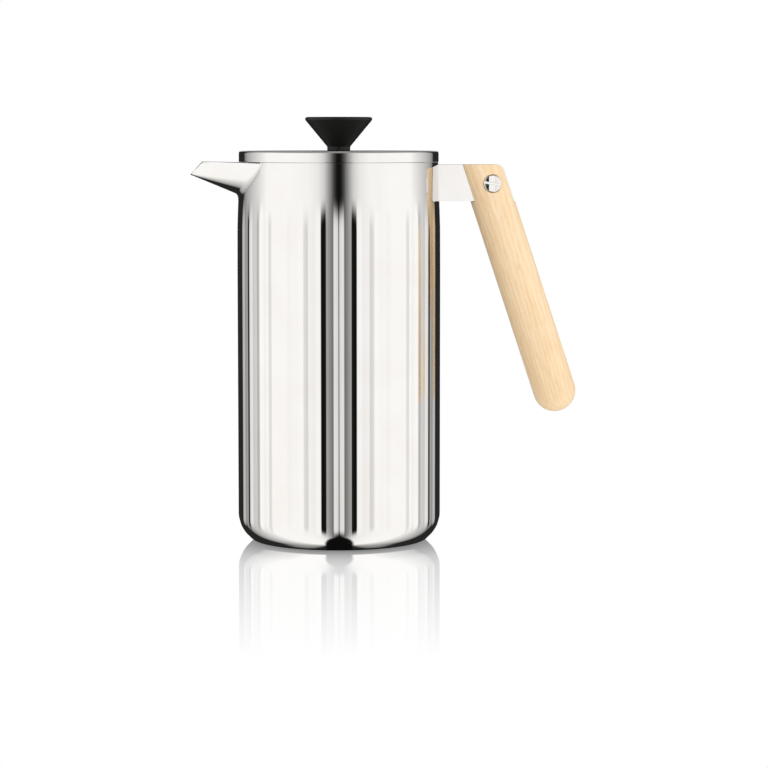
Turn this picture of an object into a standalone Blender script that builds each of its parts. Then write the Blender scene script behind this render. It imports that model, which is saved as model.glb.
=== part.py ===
"""French press: a double-walled steel pot with a wooden handle, and a lid that carries a plunger.

The pot stands on its base pad at z = 0 with its axis on Z. The spout points along -X and the handle
along +X. The plunger is pressed down and the lid sits on the rim. Every size is in metres.
"""

import math

import bmesh
import bpy
from mathutils import Matrix, Vector

# Driving sizes of the pot.
BODY_RADIUS = 0.0520
BODY_HEIGHT = 0.1939
SHELL_WALL = 0.0006
WALL_GAP = 0.0024
VESSEL_WALL = 0.0006
VESSEL_FLOOR = 0.0070
VESSEL_CORNER = 0.0050
RIM_WALL = 0.0006

# Foot of the pot: an upper bend, a short slope at 45 degrees and a lower bend.
FOOT_LIFT = 0.0005
FOOT_UPPER_BEND = 0.0150
FOOT_SLOPE = 0.0024
FOOT_LOWER_BEND = 0.0040
BASE_RIM = 0.0120
PAD_INSET = 0.0038
PAD_THICKNESS = 0.0017

# Flutes pressed into the outer wall: sharp crests between nearly flat panels. A phase of a half puts
# the handle on the middle of a panel.
FLUTE_COUNT = 36
FLUTE_PHASE = 0.5
FLUTE_DEPTH = 0.0004
FLUTE_CREST_SHARE = 0.375
FLUTE_FOOT = 0.0080
FLUTE_TOP_BELOW_RIM = 0.0215
FLUTE_FADE = 0.0050

# Spout: a beak pressed from sheet, open at the top. Its section's sides grow flatter as the fullness
# grows from 1, which is half an ellipse.
SPOUT_WALL = 0.0008
SPOUT_HALF_WIDTH = 0.0285
SPOUT_DEPTH = 0.0160
SPOUT_REACH = 0.0240
SPOUT_TIP_HALF_WIDTH = 0.0048
SPOUT_TIP_DEPTH = 0.0067
SPOUT_TIP_RAKE = 0.0064
SPOUT_RISE = 0.0006
SPOUT_TIP_RISE = 0.0009
SPOUT_FULLNESS = 1.6
MOUTH_CUT_RADIUS = 0.0150

# Handle bracket: an upturned channel whose open end meets the pot.
BRACKET_WIDTH = 0.0100
BRACKET_HEIGHT = 0.0187
BRACKET_WALL = 0.0012
BRACKET_BELOW_SHELL_TOP = 0.0002
BRACKET_END_PROUD = 0.0005
BRACKET_END_CORNER = 0.0020

# Grip: a round bar with a ball end, leaning outwards.
GRIP_RADIUS = 0.01095
GRIP_LEAN = math.radians(18.4)
GRIP_TOP_OFFSET = 0.0215
GRIP_LENGTH = 0.1235
SCREW_FROM_END = 0.0093
SCREW_BELOW_TOP = 0.0097
SCREW_HEAD_RADIUS = 0.0045
SCREW_HEAD_HEIGHT = 0.0021
SCREW_SHANK_RADIUS = 0.0020
SLEEVE_WALL = 0.0009
SCREW_SLOT_WIDTH = 0.0012
SCREW_SLOT_DEPTH = 0.0009
CHEEK_FLOOR = 0.0035

# Lid.
LID_SETBACK = 0.0008
LID_HEIGHT = 0.0056
LID_WALL = 0.0006
LID_EDGE = 0.0012
LINER_WALL = 0.0016
LINER_DROP = 0.0230
LINER_SIDE_GAP = 0.0016
SEAL_HEIGHT = 0.0028
SEAL_LIP_TIP = 0.0004
SEAL_LIP_ROOT = 0.0011
SEAL_SEAT_DEPTH = 0.0008
SEAL_ABOVE_LINER_END = 0.0018
STRAINER_SLOTS = 13
STRAINER_SLOT_WIDTH = 0.0016
STRAINER_SLOT_PITCH = math.radians(5.0)
STRAINER_SLOT_HEIGHT = 0.0115
BUSH_RADIUS = 0.0043
BUSH_FLANGE_RADIUS = 0.0080
BUSH_FLANGE_HEIGHT = 0.0014

# Plunger.
ROD_RADIUS = 0.0025
THREAD_RADIUS = 0.0020
COLLAR_RADIUS = 0.0050
COLLAR_HEIGHT = 0.0014
KNOB_RADIUS = 0.0172
KNOB_HEIGHT = 0.0170
KNOB_NECK_RADIUS = 0.0059
KNOB_NECK_HEIGHT = 0.0021
KNOB_EDGE = 0.0011
KNOB_DISH = 0.0008
INSERT_WALL = 0.0012
INSERT_LENGTH = 0.0080
FILTER_LIFT = 0.0011
HUB_FLANGE_RADIUS = 0.0062
HUB_FLANGE_HEIGHT = 0.0012
HUB_RADIUS = 0.0038
CROSS_PLATE_INSET = 0.0076
CROSS_PLATE_WALL = 0.0010
CROSS_PLATE_SPOKES = 8
CROSS_SPOKE_WIDTH = 0.0050
CROSS_RING_WIDTH = 0.0050
MESH_WALL = 0.0004
MESH_RIM_HEIGHT = 0.0050
SPRING_RADIUS = 0.0020
SPIRAL_PLATE_WALL = 0.0006
SPIRAL_HOLES = 16
SPIRAL_HOLE_RADIUS = 0.0024
SPIRAL_DISH = 0.0010

# Clearances between pieces that touch, slide or turn in each other.
GAP = 0.0003
FILTER_SIDE_GAP = 0.0004

# Fineness of the round shapes.
SHELL_STEPS_PER_FLUTE = 2
ROUND_STEPS = 40
GRIP_STEPS = 24
KNOB_STEPS = 32
SMALL_STEPS = 20
OVERRUN = 0.0050

# Sizes that follow from the driving ones.
BASE_OPENING = BODY_RADIUS - BASE_RIM
PAD_RADIUS = BASE_OPENING - PAD_INSET
LID_RADIUS = BODY_RADIUS - LID_SETBACK
SHELL_INSIDE = BODY_RADIUS - FLUTE_DEPTH - SHELL_WALL
VESSEL_RADIUS = SHELL_INSIDE - WALL_GAP - VESSEL_WALL
RIM_TOP = BODY_HEIGHT + GAP + RIM_WALL
LID_BOTTOM = RIM_TOP + GAP
LID_TOP = LID_BOTTOM + LID_HEIGHT
SPOUT_TOP = BODY_HEIGHT + SPOUT_RISE
BRACKET_TOP = BODY_HEIGHT - BRACKET_BELOW_SHELL_TOP
BRACKET_BOTTOM = BRACKET_TOP - BRACKET_HEIGHT
SLEEVE_RADIUS = SCREW_SHANK_RADIUS + GAP + SLEEVE_WALL
LINER_RADIUS = VESSEL_RADIUS - LINER_SIDE_GAP
LINER_TOP = LID_TOP - LID_WALL - GAP
LINER_BOTTOM = RIM_TOP - LINER_DROP
FILTER_RADIUS = VESSEL_RADIUS - FILTER_SIDE_GAP
CROSS_PLATE_RADIUS = FILTER_RADIUS - CROSS_PLATE_INSET
FILTER_BASE = VESSEL_FLOOR + VESSEL_WALL + FILTER_LIFT


def material(name, colour, roughness, metallic=0.0):
    """A Principled material with one colour, roughness and metallic value."""
    made = bpy.data.materials.new(name)
    made.use_nodes = True
    shader = made.node_tree.nodes["Principled BSDF"]
    shader.inputs["Base Color"].default_value = (*colour, 1.0)
    shader.inputs["Roughness"].default_value = roughness
    shader.inputs["Metallic"].default_value = metallic
    return made


def group(name, parent=None, height=0.0):
    """An empty on the pot's axis that carries one moving group."""
    empty = bpy.data.objects.new(name, None)
    bpy.context.scene.collection.objects.link(empty)
    empty.parent = parent
    empty.location.z = height
    return empty


def place(bm, name, finish, parent=None, height=0.0):
    """Turns a bmesh into a named object whose own zero lies at this height on the pot's axis."""
    bmesh.ops.recalc_face_normals(bm, faces=bm.faces)
    mesh = bpy.data.meshes.new(name)
    bm.to_mesh(mesh)
    bm.free()
    mesh.shade_smooth()
    mesh.set_sharp_from_angle(angle=math.radians(30))
    made = bpy.data.objects.new(name, mesh)
    bpy.context.scene.collection.objects.link(made)
    if finish:
        mesh.materials.append(finish)
    made.parent = parent
    made.location.z = height - (parent_height(parent) if parent else 0.0)
    return made


def parent_height(empty):
    """Height of an empty above the table, through its own parents."""
    return empty.location.z + (parent_height(empty.parent) if empty.parent else 0.0)


def turned(profile, steps):
    """Bmesh of a closed (radius, height) outline turned about Z. Ends on the axis leave it solid."""
    bm = bmesh.new()
    points = [bm.verts.new((radius, 0.0, height)) for radius, height in profile]
    edges = [bm.edges.new(pair) for pair in zip(points, points[1:])]
    if profile[0][0] > 0.0:
        edges.append(bm.edges.new((points[-1], points[0])))
    bmesh.ops.spin(bm, geom=points + edges, axis=(0, 0, 1), cent=(0, 0, 0), steps=steps,
                   angle=math.tau, use_merge=True)
    bmesh.ops.remove_doubles(bm, verts=bm.verts, dist=1e-7)
    return bm


def arc(centre, radius, start, end, steps):
    """Points of an arc in the (radius, height) plane, both ends included, angles in degrees."""
    angles = [math.radians(start + (end - start) * i / steps) for i in range(steps + 1)]
    return [(centre[0] + radius * math.cos(a), centre[1] + radius * math.sin(a)) for a in angles]


def prism(outline, low, high, axis="Y"):
    """Bmesh of a flat outline pushed out along Y from an (x, z) outline, or along Z from (x, y)."""
    bm = bmesh.new()
    if axis == "Y":
        base = [bm.verts.new((a, low, b)) for a, b in outline]
        push = Vector((0, high - low, 0))
    else:
        base = [bm.verts.new((a, b, low)) for a, b in outline]
        push = Vector((0, 0, high - low))
    face = bm.faces.new(base)
    moved = bmesh.ops.extrude_face_region(bm, geom=[face])
    verts = [item for item in moved["geom"] if isinstance(item, bmesh.types.BMVert)]
    bmesh.ops.translate(bm, verts=verts, vec=push)
    return bm


def cylinder(radius, low, high, steps, axis="Z", at=(0.0, 0.0)):
    """Bmesh of a cylinder along Z at (x, y), or along Y or X at the other two coordinates."""
    bm = bmesh.new()
    bmesh.ops.create_cone(bm, cap_ends=True, segments=steps, radius1=radius, radius2=radius,
                          depth=high - low)
    middle = (low + high) / 2
    if axis == "Z":
        bmesh.ops.translate(bm, verts=bm.verts, vec=(at[0], at[1], middle))
    elif axis == "Y":
        bmesh.ops.rotate(bm, verts=bm.verts, matrix=Matrix.Rotation(math.radians(90), 3, "X"))
        bmesh.ops.translate(bm, verts=bm.verts, vec=(at[0], middle, at[1]))
    else:
        bmesh.ops.rotate(bm, verts=bm.verts, matrix=Matrix.Rotation(math.radians(90), 3, "Y"))
        bmesh.ops.translate(bm, verts=bm.verts, vec=(middle, at[0], at[1]))
    return bm


def joined(parts):
    """One bmesh that holds several, each still its own body, for use as a cutter."""
    whole = bmesh.new()
    for bm in parts:
        spare = bpy.data.meshes.new("spare")
        bmesh.ops.recalc_face_normals(bm, faces=bm.faces)
        bm.to_mesh(spare)
        bm.free()
        whole.from_mesh(spare)
        bpy.data.meshes.remove(spare)
    return whole


def boolean(target, tool_bm, name):
    """Cuts a hidden helper shape, given in the pot's own coordinates, out of a piece."""
    helper = place(tool_bm, name, None)
    helper.parent = target.parent
    helper.location.z = -parent_height(target.parent) if target.parent else 0.0
    helper.hide_render = True
    helper.display_type = "WIRE"
    step = target.modifiers.new(name, "BOOLEAN")
    step.object = helper
    step.operation = "DIFFERENCE"
    step.solver = "EXACT"


def bound(low, value, high):
    """The value, kept between two limits."""
    return max(low, min(high, value))


def fade(value):
    """A smooth step from 0 to 1."""
    share = bound(0.0, value, 1.0)
    return share * share * (3 - 2 * share)


def foot_outline(radius, lift, upper_bend, lower_bend, steps):
    """(radius, height) points of the pot's foot, from the flat underside up to the straight wall."""
    half = math.radians(45)
    slope = FOOT_SLOPE * math.cos(half)
    start = lift + lower_bend * (1 - math.sin(half)) + slope + upper_bend * math.sin(half)
    upper = arc((radius - upper_bend, start), upper_bend, -45, 0, steps)
    low_x = upper[0][0] - slope - lower_bend * math.cos(half)
    lower = arc((low_x, lift + lower_bend), lower_bend, -90, -45, max(1, steps - 1))
    return lower + upper


def flute_offset(angle, height):
    """How far the fluted wall stands out from the plain radius at an angle and height."""
    turn = angle * FLUTE_COUNT / math.tau - FLUTE_PHASE
    from_crest = abs(turn - round(turn)) * 2
    rise = 1 - fade(from_crest * 2)
    top = BODY_HEIGHT - FLUTE_TOP_BELOW_RIM
    strength = fade((height - FLUTE_FOOT) / FLUTE_FADE) * fade((top - height) / FLUTE_FADE)
    return FLUTE_DEPTH * strength * (rise - (1 - FLUTE_CREST_SHARE))


def spout_curve(across, half_width, depth):
    """(y, z) on the spout's U-shaped section, with across from -1 to 1 between the two lips."""
    swing = across * math.pi / 2
    return half_width * math.sin(swing), SPOUT_TOP - depth * math.cos(swing) ** SPOUT_FULLNESS


def spout_notch(clearance):
    """Cutter for the mouth behind the spout: a U-shaped bar along X through one side of the pot."""
    half_width, depth = SPOUT_HALF_WIDTH + clearance, SPOUT_DEPTH + clearance
    section = [spout_curve(i / 8, half_width, depth) for i in range(-8, 9)]
    section += [(half_width, RIM_TOP + OVERRUN), (-half_width, RIM_TOP + OVERRUN)]
    bm = prism(section, -BODY_RADIUS - OVERRUN, -MOUTH_CUT_RADIUS)
    bmesh.ops.rotate(bm, verts=bm.verts, matrix=Matrix.Rotation(math.radians(90), 3, "Z"))
    bmesh.ops.scale(bm, vec=(-1, -1, 1), verts=bm.verts)
    return bm


def outer_shell(steel, pot):
    """The fluted outer wall with its foot and the turned-in top edge, notched for the spout."""
    steps = FLUTE_COUNT * SHELL_STEPS_PER_FLUTE
    lip = LID_EDGE
    flute_top = BODY_HEIGHT - FLUTE_TOP_BELOW_RIM
    outside = [(BASE_OPENING, FOOT_LIFT)]
    outside += foot_outline(BODY_RADIUS, FOOT_LIFT, FOOT_UPPER_BEND, FOOT_LOWER_BEND, 3)
    outside += [(BODY_RADIUS, flute_top - FLUTE_FADE), (BODY_RADIUS, flute_top)]
    outside += arc((BODY_RADIUS - lip, BODY_HEIGHT - lip), lip, 0, 90, 2)
    inner_foot = foot_outline(SHELL_INSIDE, FOOT_LIFT + SHELL_WALL, FOOT_UPPER_BEND - SHELL_WALL,
                              FOOT_LOWER_BEND - SHELL_WALL, 2)
    lip_edge = VESSEL_RADIUS + VESSEL_WALL + 2 * GAP
    inside = [(lip_edge, BODY_HEIGHT), (lip_edge, BODY_HEIGHT - SHELL_WALL),
              (SHELL_INSIDE, BODY_HEIGHT - 2 * SHELL_WALL), *reversed(inner_foot),
              (BASE_OPENING, FOOT_LIFT + SHELL_WALL)]
    bm = turned(outside + inside, steps)
    for vert in bm.verts:
        radius = math.hypot(vert.co.x, vert.co.y)
        if radius > inside_radius_at(vert.co.z, inner_foot) + SHELL_WALL / 2:
            grown = radius + flute_offset(math.atan2(vert.co.y, vert.co.x), vert.co.z)
            vert.co.x *= grown / radius
            vert.co.y *= grown / radius
    made = place(bm, "outer_shell", steel, pot)
    boolean(made, spout_notch(GAP), "shell_notch")
    return made


def inside_radius_at(height, inner_foot):
    """Radius of the outer wall's inside at a height, from the points of its foot."""
    for (r1, z1), (r2, z2) in zip(inner_foot, inner_foot[1:]):
        if z1 <= height < z2:
            return r1 + (r2 - r1) * (height - z1) / (z2 - z1)
    return SHELL_INSIDE if height >= inner_foot[-1][1] else inner_foot[0][0]


def inner_vessel(steel, pot):
    """The brewing vessel inside the outer wall, with the rim that closes the space between them."""
    outer = VESSEL_RADIUS + VESSEL_WALL
    corner = VESSEL_CORNER
    rim_edge = BODY_RADIUS - GAP
    floor_top = VESSEL_FLOOR + VESSEL_WALL
    profile = [(0.0, VESSEL_FLOOR)]
    profile += arc((outer - corner, VESSEL_FLOOR + corner), corner, -90, 0, 3)
    profile += [(outer, RIM_TOP - RIM_WALL), (rim_edge, RIM_TOP - RIM_WALL), (rim_edge, RIM_TOP),
                (VESSEL_RADIUS, RIM_TOP)]
    inner_corner = corner - VESSEL_WALL
    profile += arc((VESSEL_RADIUS - inner_corner, floor_top + inner_corner), inner_corner, 0, -90, 3)
    profile += [(0.0, floor_top)]
    made = place(turned(profile, ROUND_STEPS), "inner_vessel", steel, pot)
    boolean(made, spout_notch(GAP), "vessel_notch")
    return made


def base_pieces(steel, rubber, pot):
    """The disc that closes the foot, and the soft pad that the pot stands on."""
    edge = BASE_OPENING - GAP
    recess = PAD_RADIUS + GAP
    shelf = PAD_THICKNESS + GAP
    plate = [(recess, FOOT_LIFT), (edge, FOOT_LIFT), (edge, FOOT_LIFT + SHELL_WALL),
             (recess + SHELL_WALL, FOOT_LIFT + SHELL_WALL), (recess + SHELL_WALL, shelf + SHELL_WALL),
             (0.0, shelf + SHELL_WALL)]
    plate = [(0.0, shelf), (recess, shelf), *plate]
    place(turned(plate, ROUND_STEPS), "base_plate", steel, pot)
    edge_round = PAD_THICKNESS / 4
    pad = [(0.0, 0.0), (PAD_RADIUS - edge_round, 0.0), (PAD_RADIUS, edge_round),
           (PAD_RADIUS, PAD_THICKNESS), (0.0, PAD_THICKNESS)]
    place(turned(pad, ROUND_STEPS), "base_pad", rubber, pot)


def spout_section(station, across, inset):
    """A point of the spout's skin: station runs from 0 at the pot to 1 at the tip, across from -1 to 1
    between the two lips, and inset moves it in by the wall. Below 0, station is in the throat."""
    root_y, root_z = spout_curve(across, SPOUT_HALF_WIDTH - inset, SPOUT_DEPTH - inset)
    if station < 0:
        return Vector((-math.sqrt(VESSEL_RADIUS ** 2 - root_y ** 2), root_y, root_z))
    root = Vector((-math.sqrt(BODY_RADIUS ** 2 - root_y ** 2), root_y, root_z))
    tip_y, tip_z = spout_curve(across, SPOUT_TIP_HALF_WIDTH - inset, SPOUT_TIP_DEPTH - inset)
    rake = SPOUT_TIP_RAKE * (1 - (SPOUT_TOP - tip_z) / SPOUT_TIP_DEPTH)
    tip = Vector((rake - BODY_RADIUS - SPOUT_REACH, tip_y, tip_z + SPOUT_TIP_RISE))
    return root.lerp(tip, station)


def spout(steel, pot):
    """The open beak, with a throat that runs through both walls of the pot."""
    stations = [-1, 0, 1 / 3, 2 / 3, 1]
    crossings = [i / 8 for i in range(-8, 9)]
    bm = bmesh.new()
    skins = []
    for inset in (0.0, SPOUT_WALL):
        skins.append([[bm.verts.new(spout_section(s, u, inset)) for u in crossings]
                      for s in stations])
    for skin in skins:
        for row, after in zip(skin, skin[1:]):
            for a, b, c, d in zip(row, row[1:], after[1:], after):
                bm.faces.new((a, b, c, d))
    outer, inner = skins
    for end in (0, -1):
        for a, b, c, d in zip(outer[end], outer[end][1:], inner[end][1:], inner[end]):
            bm.faces.new((a, b, c, d))
    for lip in (0, -1):
        for k in range(len(stations) - 1):
            bm.faces.new((outer[k][lip], outer[k + 1][lip], inner[k + 1][lip], inner[k][lip]))
    place(bm, "spout", steel, pot)


def grip_axis_x(height):
    """X of the grip's axis at a height."""
    return BODY_RADIUS + GRIP_TOP_OFFSET + (BRACKET_TOP - height) * math.tan(GRIP_LEAN)


def bracket_end_x(height):
    """X of the bracket's sloping end at a height, a little proud of the grip's slotted side."""
    chord = math.sqrt(GRIP_RADIUS ** 2 - (BRACKET_WIDTH / 2) ** 2) / math.cos(GRIP_LEAN)
    return grip_axis_x(height) + chord + BRACKET_END_PROUD


def screw_place():
    """(x, z) of the handle screw's axis."""
    height = BRACKET_TOP - SCREW_BELOW_TOP
    return bracket_end_x(height) - SCREW_FROM_END, height


def handle_bracket(steel, pot):
    """The upturned steel channel that holds the grip, cut to the curve of the pot."""
    end_top = bracket_end_x(BRACKET_TOP)
    end_bottom = bracket_end_x(BRACKET_BOTTOM)
    corner = BRACKET_END_CORNER
    start = VESSEL_RADIUS
    side = [(start, BRACKET_BOTTOM), (end_bottom, BRACKET_BOTTOM),
            (end_top + corner * math.tan(GRIP_LEAN), BRACKET_TOP - corner),
            (end_top - corner, BRACKET_TOP), (start, BRACKET_TOP)]
    made = place(prism(side, -BRACKET_WIDTH / 2, BRACKET_WIDTH / 2), "handle_bracket", steel, pot)
    inside = BODY_RADIUS + GAP
    pot_shape = cylinder(inside, BRACKET_BOTTOM - OVERRUN, BRACKET_TOP + OVERRUN, ROUND_STEPS * 3)
    boolean(made, pot_shape, "bracket_pot_side")
    wall = BRACKET_WALL
    hollow_low = BRACKET_BOTTOM - OVERRUN
    low_x = end_bottom + OVERRUN * math.tan(GRIP_LEAN)
    hollow = [(start - OVERRUN, hollow_low), (low_x - wall / math.cos(GRIP_LEAN), hollow_low),
              (end_top + wall * (math.tan(GRIP_LEAN) - 1 / math.cos(GRIP_LEAN)), BRACKET_TOP - wall),
              (start - OVERRUN, BRACKET_TOP - wall)]
    half = BRACKET_WIDTH / 2 - wall
    boolean(made, prism(hollow, -half, half), "bracket_hollow")
    boolean(made, cylinder(SLEEVE_RADIUS + GAP, -BRACKET_WIDTH, BRACKET_WIDTH, SMALL_STEPS, "Y",
                           screw_place()), "bracket_screw_hole")


def handle_grip(wood, pot):
    """The round wooden bar, slotted at its top for the bracket and bored for the screw."""
    radius = GRIP_RADIUS
    straight = GRIP_LENGTH + radius
    ball = arc((0.0, 0.0), radius, -90, 0, 6)
    bm = turned([*ball, (radius, straight), (0.0, straight)], GRIP_STEPS)
    end_height = BRACKET_TOP - GRIP_LENGTH * math.cos(GRIP_LEAN)
    bmesh.ops.rotate(bm, verts=bm.verts, matrix=Matrix.Rotation(-GRIP_LEAN, 3, "Y"))
    bmesh.ops.translate(bm, verts=bm.verts, vec=(grip_axis_x(end_height), 0, end_height))
    top = (0, 0, BRACKET_TOP)
    bmesh.ops.bisect_plane(bm, geom=[*bm.verts, *bm.edges, *bm.faces], plane_co=top,
                           plane_no=(0, 0, 1), clear_outer=True)
    bmesh.ops.holes_fill(bm, edges=[edge for edge in bm.edges if edge.is_boundary])
    made = place(bm, "handle_grip", wood, pot)
    slot_half = BRACKET_WIDTH / 2 + GAP
    shoulder = BRACKET_BOTTOM - GAP
    slot = [(BODY_RADIUS, shoulder), (grip_axis_x(shoulder) + 2 * radius, shoulder),
            (grip_axis_x(shoulder) + 2 * radius, BRACKET_TOP + OVERRUN),
            (BODY_RADIUS, BRACKET_TOP + OVERRUN)]
    boolean(made, prism(slot, -slot_half, slot_half), "grip_slot")
    seat = slot_half + CHEEK_FLOOR
    bore = cylinder(SLEEVE_RADIUS + GAP, -2 * radius, 2 * radius, SMALL_STEPS, "Y", screw_place())
    boolean(made, bore, "grip_bore")
    for side, low, high in (("front", -2 * radius, -seat), ("back", seat, 2 * radius)):
        bore = cylinder(SCREW_HEAD_RADIUS + GAP, low, high, SMALL_STEPS, "Y", screw_place())
        boolean(made, bore, f"grip_{side}_seat")


def screw_head(side, bore_radius, shank_radius, shank_end):
    """Bmesh of a slotted head seated on one side of the grip, with its shank towards the other side.
    A bore radius above 0 makes it the sleeve that the screw runs into."""
    seat = BRACKET_WIDTH / 2 + 2 * GAP + CHEEK_FLOOR
    crown = seat + SCREW_HEAD_HEIGHT
    rim = SCREW_HEAD_HEIGHT / 4
    head = [(SCREW_HEAD_RADIUS, seat), (SCREW_HEAD_RADIUS, crown - rim),
            (SCREW_HEAD_RADIUS - rim, crown), (0.0, crown)]
    if bore_radius > 0:
        floor = seat - GAP
        profile = [(0.0, floor), (bore_radius, floor), (bore_radius, shank_end),
                   (shank_radius, shank_end), (shank_radius, seat), *head]
    else:
        profile = [(0.0, shank_end), (shank_radius, shank_end), (shank_radius, seat), *head]
    bm = turned(profile, SMALL_STEPS)
    bmesh.ops.rotate(bm, verts=bm.verts, matrix=Matrix.Rotation(math.radians(-90 * side), 3, "X"))
    x, z = screw_place()
    bmesh.ops.translate(bm, verts=bm.verts, vec=(x, 0, z))
    return bm


def screw_slot(side):
    """Cutter for the slot across a screw head, turned a little from level."""
    crown = BRACKET_WIDTH / 2 + 2 * GAP + CHEEK_FLOOR + SCREW_HEAD_HEIGHT
    half = SCREW_SLOT_WIDTH / 2
    reach = SCREW_HEAD_RADIUS + OVERRUN
    low, high = crown - SCREW_SLOT_DEPTH, crown + OVERRUN
    if side < 0:
        low, high = -high, -low
    outline = [(-reach, -half), (reach, -half), (reach, half), (-reach, half)]
    bm = prism(outline, low, high)
    bmesh.ops.rotate(bm, verts=bm.verts, matrix=Matrix.Rotation(math.radians(9), 3, "Y"))
    x, z = screw_place()
    bmesh.ops.translate(bm, verts=bm.verts, vec=(x, 0, z))
    return bm


def handle_fasteners(steel, pot):
    """The slotted screw, the sleeve nut it runs into, and the tube that keeps the channel from closing."""
    half = BRACKET_WIDTH / 2
    screw = place(screw_head(-1, 0.0, SCREW_SHANK_RADIUS, -half), "handle_screw", steel, pot)
    boolean(screw, screw_slot(-1), "screw_slot_front")
    sleeve = place(screw_head(1, SCREW_SHANK_RADIUS + GAP, SLEEVE_RADIUS, -half),
                   "handle_sleeve_nut", steel, pot)
    boolean(sleeve, screw_slot(1), "screw_slot_back")
    length = half - BRACKET_WALL - GAP
    tube = turned([(SLEEVE_RADIUS + GAP, -length), (SLEEVE_RADIUS + GAP + BRACKET_WALL, -length),
                   (SLEEVE_RADIUS + GAP + BRACKET_WALL, length), (SLEEVE_RADIUS + GAP, length)],
                  SMALL_STEPS)
    bmesh.ops.rotate(tube, verts=tube.verts, matrix=Matrix.Rotation(math.radians(90), 3, "X"))
    x, z = screw_place()
    bmesh.ops.translate(tube, verts=tube.verts, vec=(x, 0, z))
    place(tube, "bracket_spacer", steel, pot)


def lid_cover(steel, lid):
    """The pressed steel cap of the lid, with a hole for the rod's bush."""
    drop = LID_BOTTOM - LID_TOP
    hole = BUSH_RADIUS + GAP
    edge = LID_EDGE
    inner_edge = LID_EDGE - LID_WALL
    inside = LID_RADIUS - LID_WALL
    profile = [(hole, 0.0), *arc((LID_RADIUS - edge, -edge), edge, 90, 0, 3), (LID_RADIUS, drop),
               (inside, drop), *arc((inside - inner_edge, -LID_WALL - inner_edge), inner_edge, 0, 90, 2),
               (hole, -LID_WALL)]
    place(turned(profile, ROUND_STEPS), "lid_cover", steel, lid, LID_TOP)


def lid_liner(plastic, lid):
    """The moulded liner: a disc under the cover and a skirt that closes the spout or strains through it."""
    hole = BUSH_RADIUS + GAP
    disc_edge = LID_RADIUS - LID_WALL - GAP
    inside = LINER_RADIUS - LINER_WALL
    seat_low = LINER_BOTTOM + SEAL_ABOVE_LINER_END - GAP - LINER_TOP
    seat_high = seat_low + SEAL_HEIGHT + 2 * GAP
    seat = LINER_RADIUS - SEAL_SEAT_DEPTH
    end = LINER_BOTTOM - LINER_TOP
    corner = LID_EDGE
    profile = [(hole, 0.0), (disc_edge - corner, 0.0), (disc_edge, -corner), (disc_edge, -LINER_WALL),
               (LINER_RADIUS, -LINER_WALL), (LINER_RADIUS, seat_high), (seat, seat_high),
               (seat, seat_low), (LINER_RADIUS, seat_low), (LINER_RADIUS, end), (inside, end),
               (inside, -LINER_WALL), (hole, -LINER_WALL)]
    made = place(turned(profile, ROUND_STEPS), "lid_liner", plastic, lid, LINER_TOP)
    high = SPOUT_TOP - LINER_WALL
    low = max(high - STRAINER_SLOT_HEIGHT, LINER_TOP + seat_high + LINER_WALL)
    cutters = []
    for i in range(STRAINER_SLOTS):
        turn = math.pi + (i - (STRAINER_SLOTS - 1) / 2) * STRAINER_SLOT_PITCH
        near, far = inside - OVERRUN, LINER_RADIUS + OVERRUN
        half = STRAINER_SLOT_WIDTH / 2
        bm = prism([(near, -half), (far, -half), (far, half), (near, half)], low, high, axis="Z")
        bmesh.ops.rotate(bm, verts=bm.verts, matrix=Matrix.Rotation(turn, 3, "Z"))
        cutters.append(bm)
    boolean(made, joined(cutters), "strainer_slots")


def lid_seal(rubber, ring):
    """The soft ring round the foot of the liner, with two lips against the vessel."""
    inside = LINER_RADIUS - SEAL_SEAT_DEPTH + GAP
    root = (inside + VESSEL_RADIUS) / 2
    lip = VESSEL_RADIUS - GAP
    height = SEAL_HEIGHT
    profile = [(inside, 0.0), (root, 0.0), (lip, SEAL_LIP_TIP), (root, SEAL_LIP_ROOT),
               (root, height - SEAL_LIP_ROOT), (lip, height - SEAL_LIP_TIP), (root, height),
               (inside, height)]
    place(turned(profile, ROUND_STEPS), "lid_seal", rubber, ring, LINER_BOTTOM + SEAL_ABOVE_LINER_END)


def rod_bushing(plastic, lid):
    """The bush that guides the rod, with a flange under the liner."""
    bore = ROD_RADIUS + GAP
    under = LINER_TOP - LINER_WALL - GAP - LID_TOP
    profile = [(bore, 0.0), (BUSH_RADIUS, 0.0), (BUSH_RADIUS, under), (BUSH_FLANGE_RADIUS, under),
               (BUSH_FLANGE_RADIUS, under - BUSH_FLANGE_HEIGHT), (bore, under - BUSH_FLANGE_HEIGHT)]
    place(turned(profile, SMALL_STEPS), "rod_bushing", plastic, lid, LID_TOP)


def filter_heights():
    """Heights of the pressed-down filter's pieces, from the underside up."""
    hub = FILTER_BASE
    cross = hub + HUB_FLANGE_HEIGHT + GAP
    mesh = cross + CROSS_PLATE_WALL + GAP
    spiral = mesh + MESH_WALL + GAP
    collar = spiral + SPIRAL_DISH + SPIRAL_PLATE_WALL + GAP
    return {"hub": hub, "cross": cross, "mesh": mesh, "spiral": spiral, "collar": collar}


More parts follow.
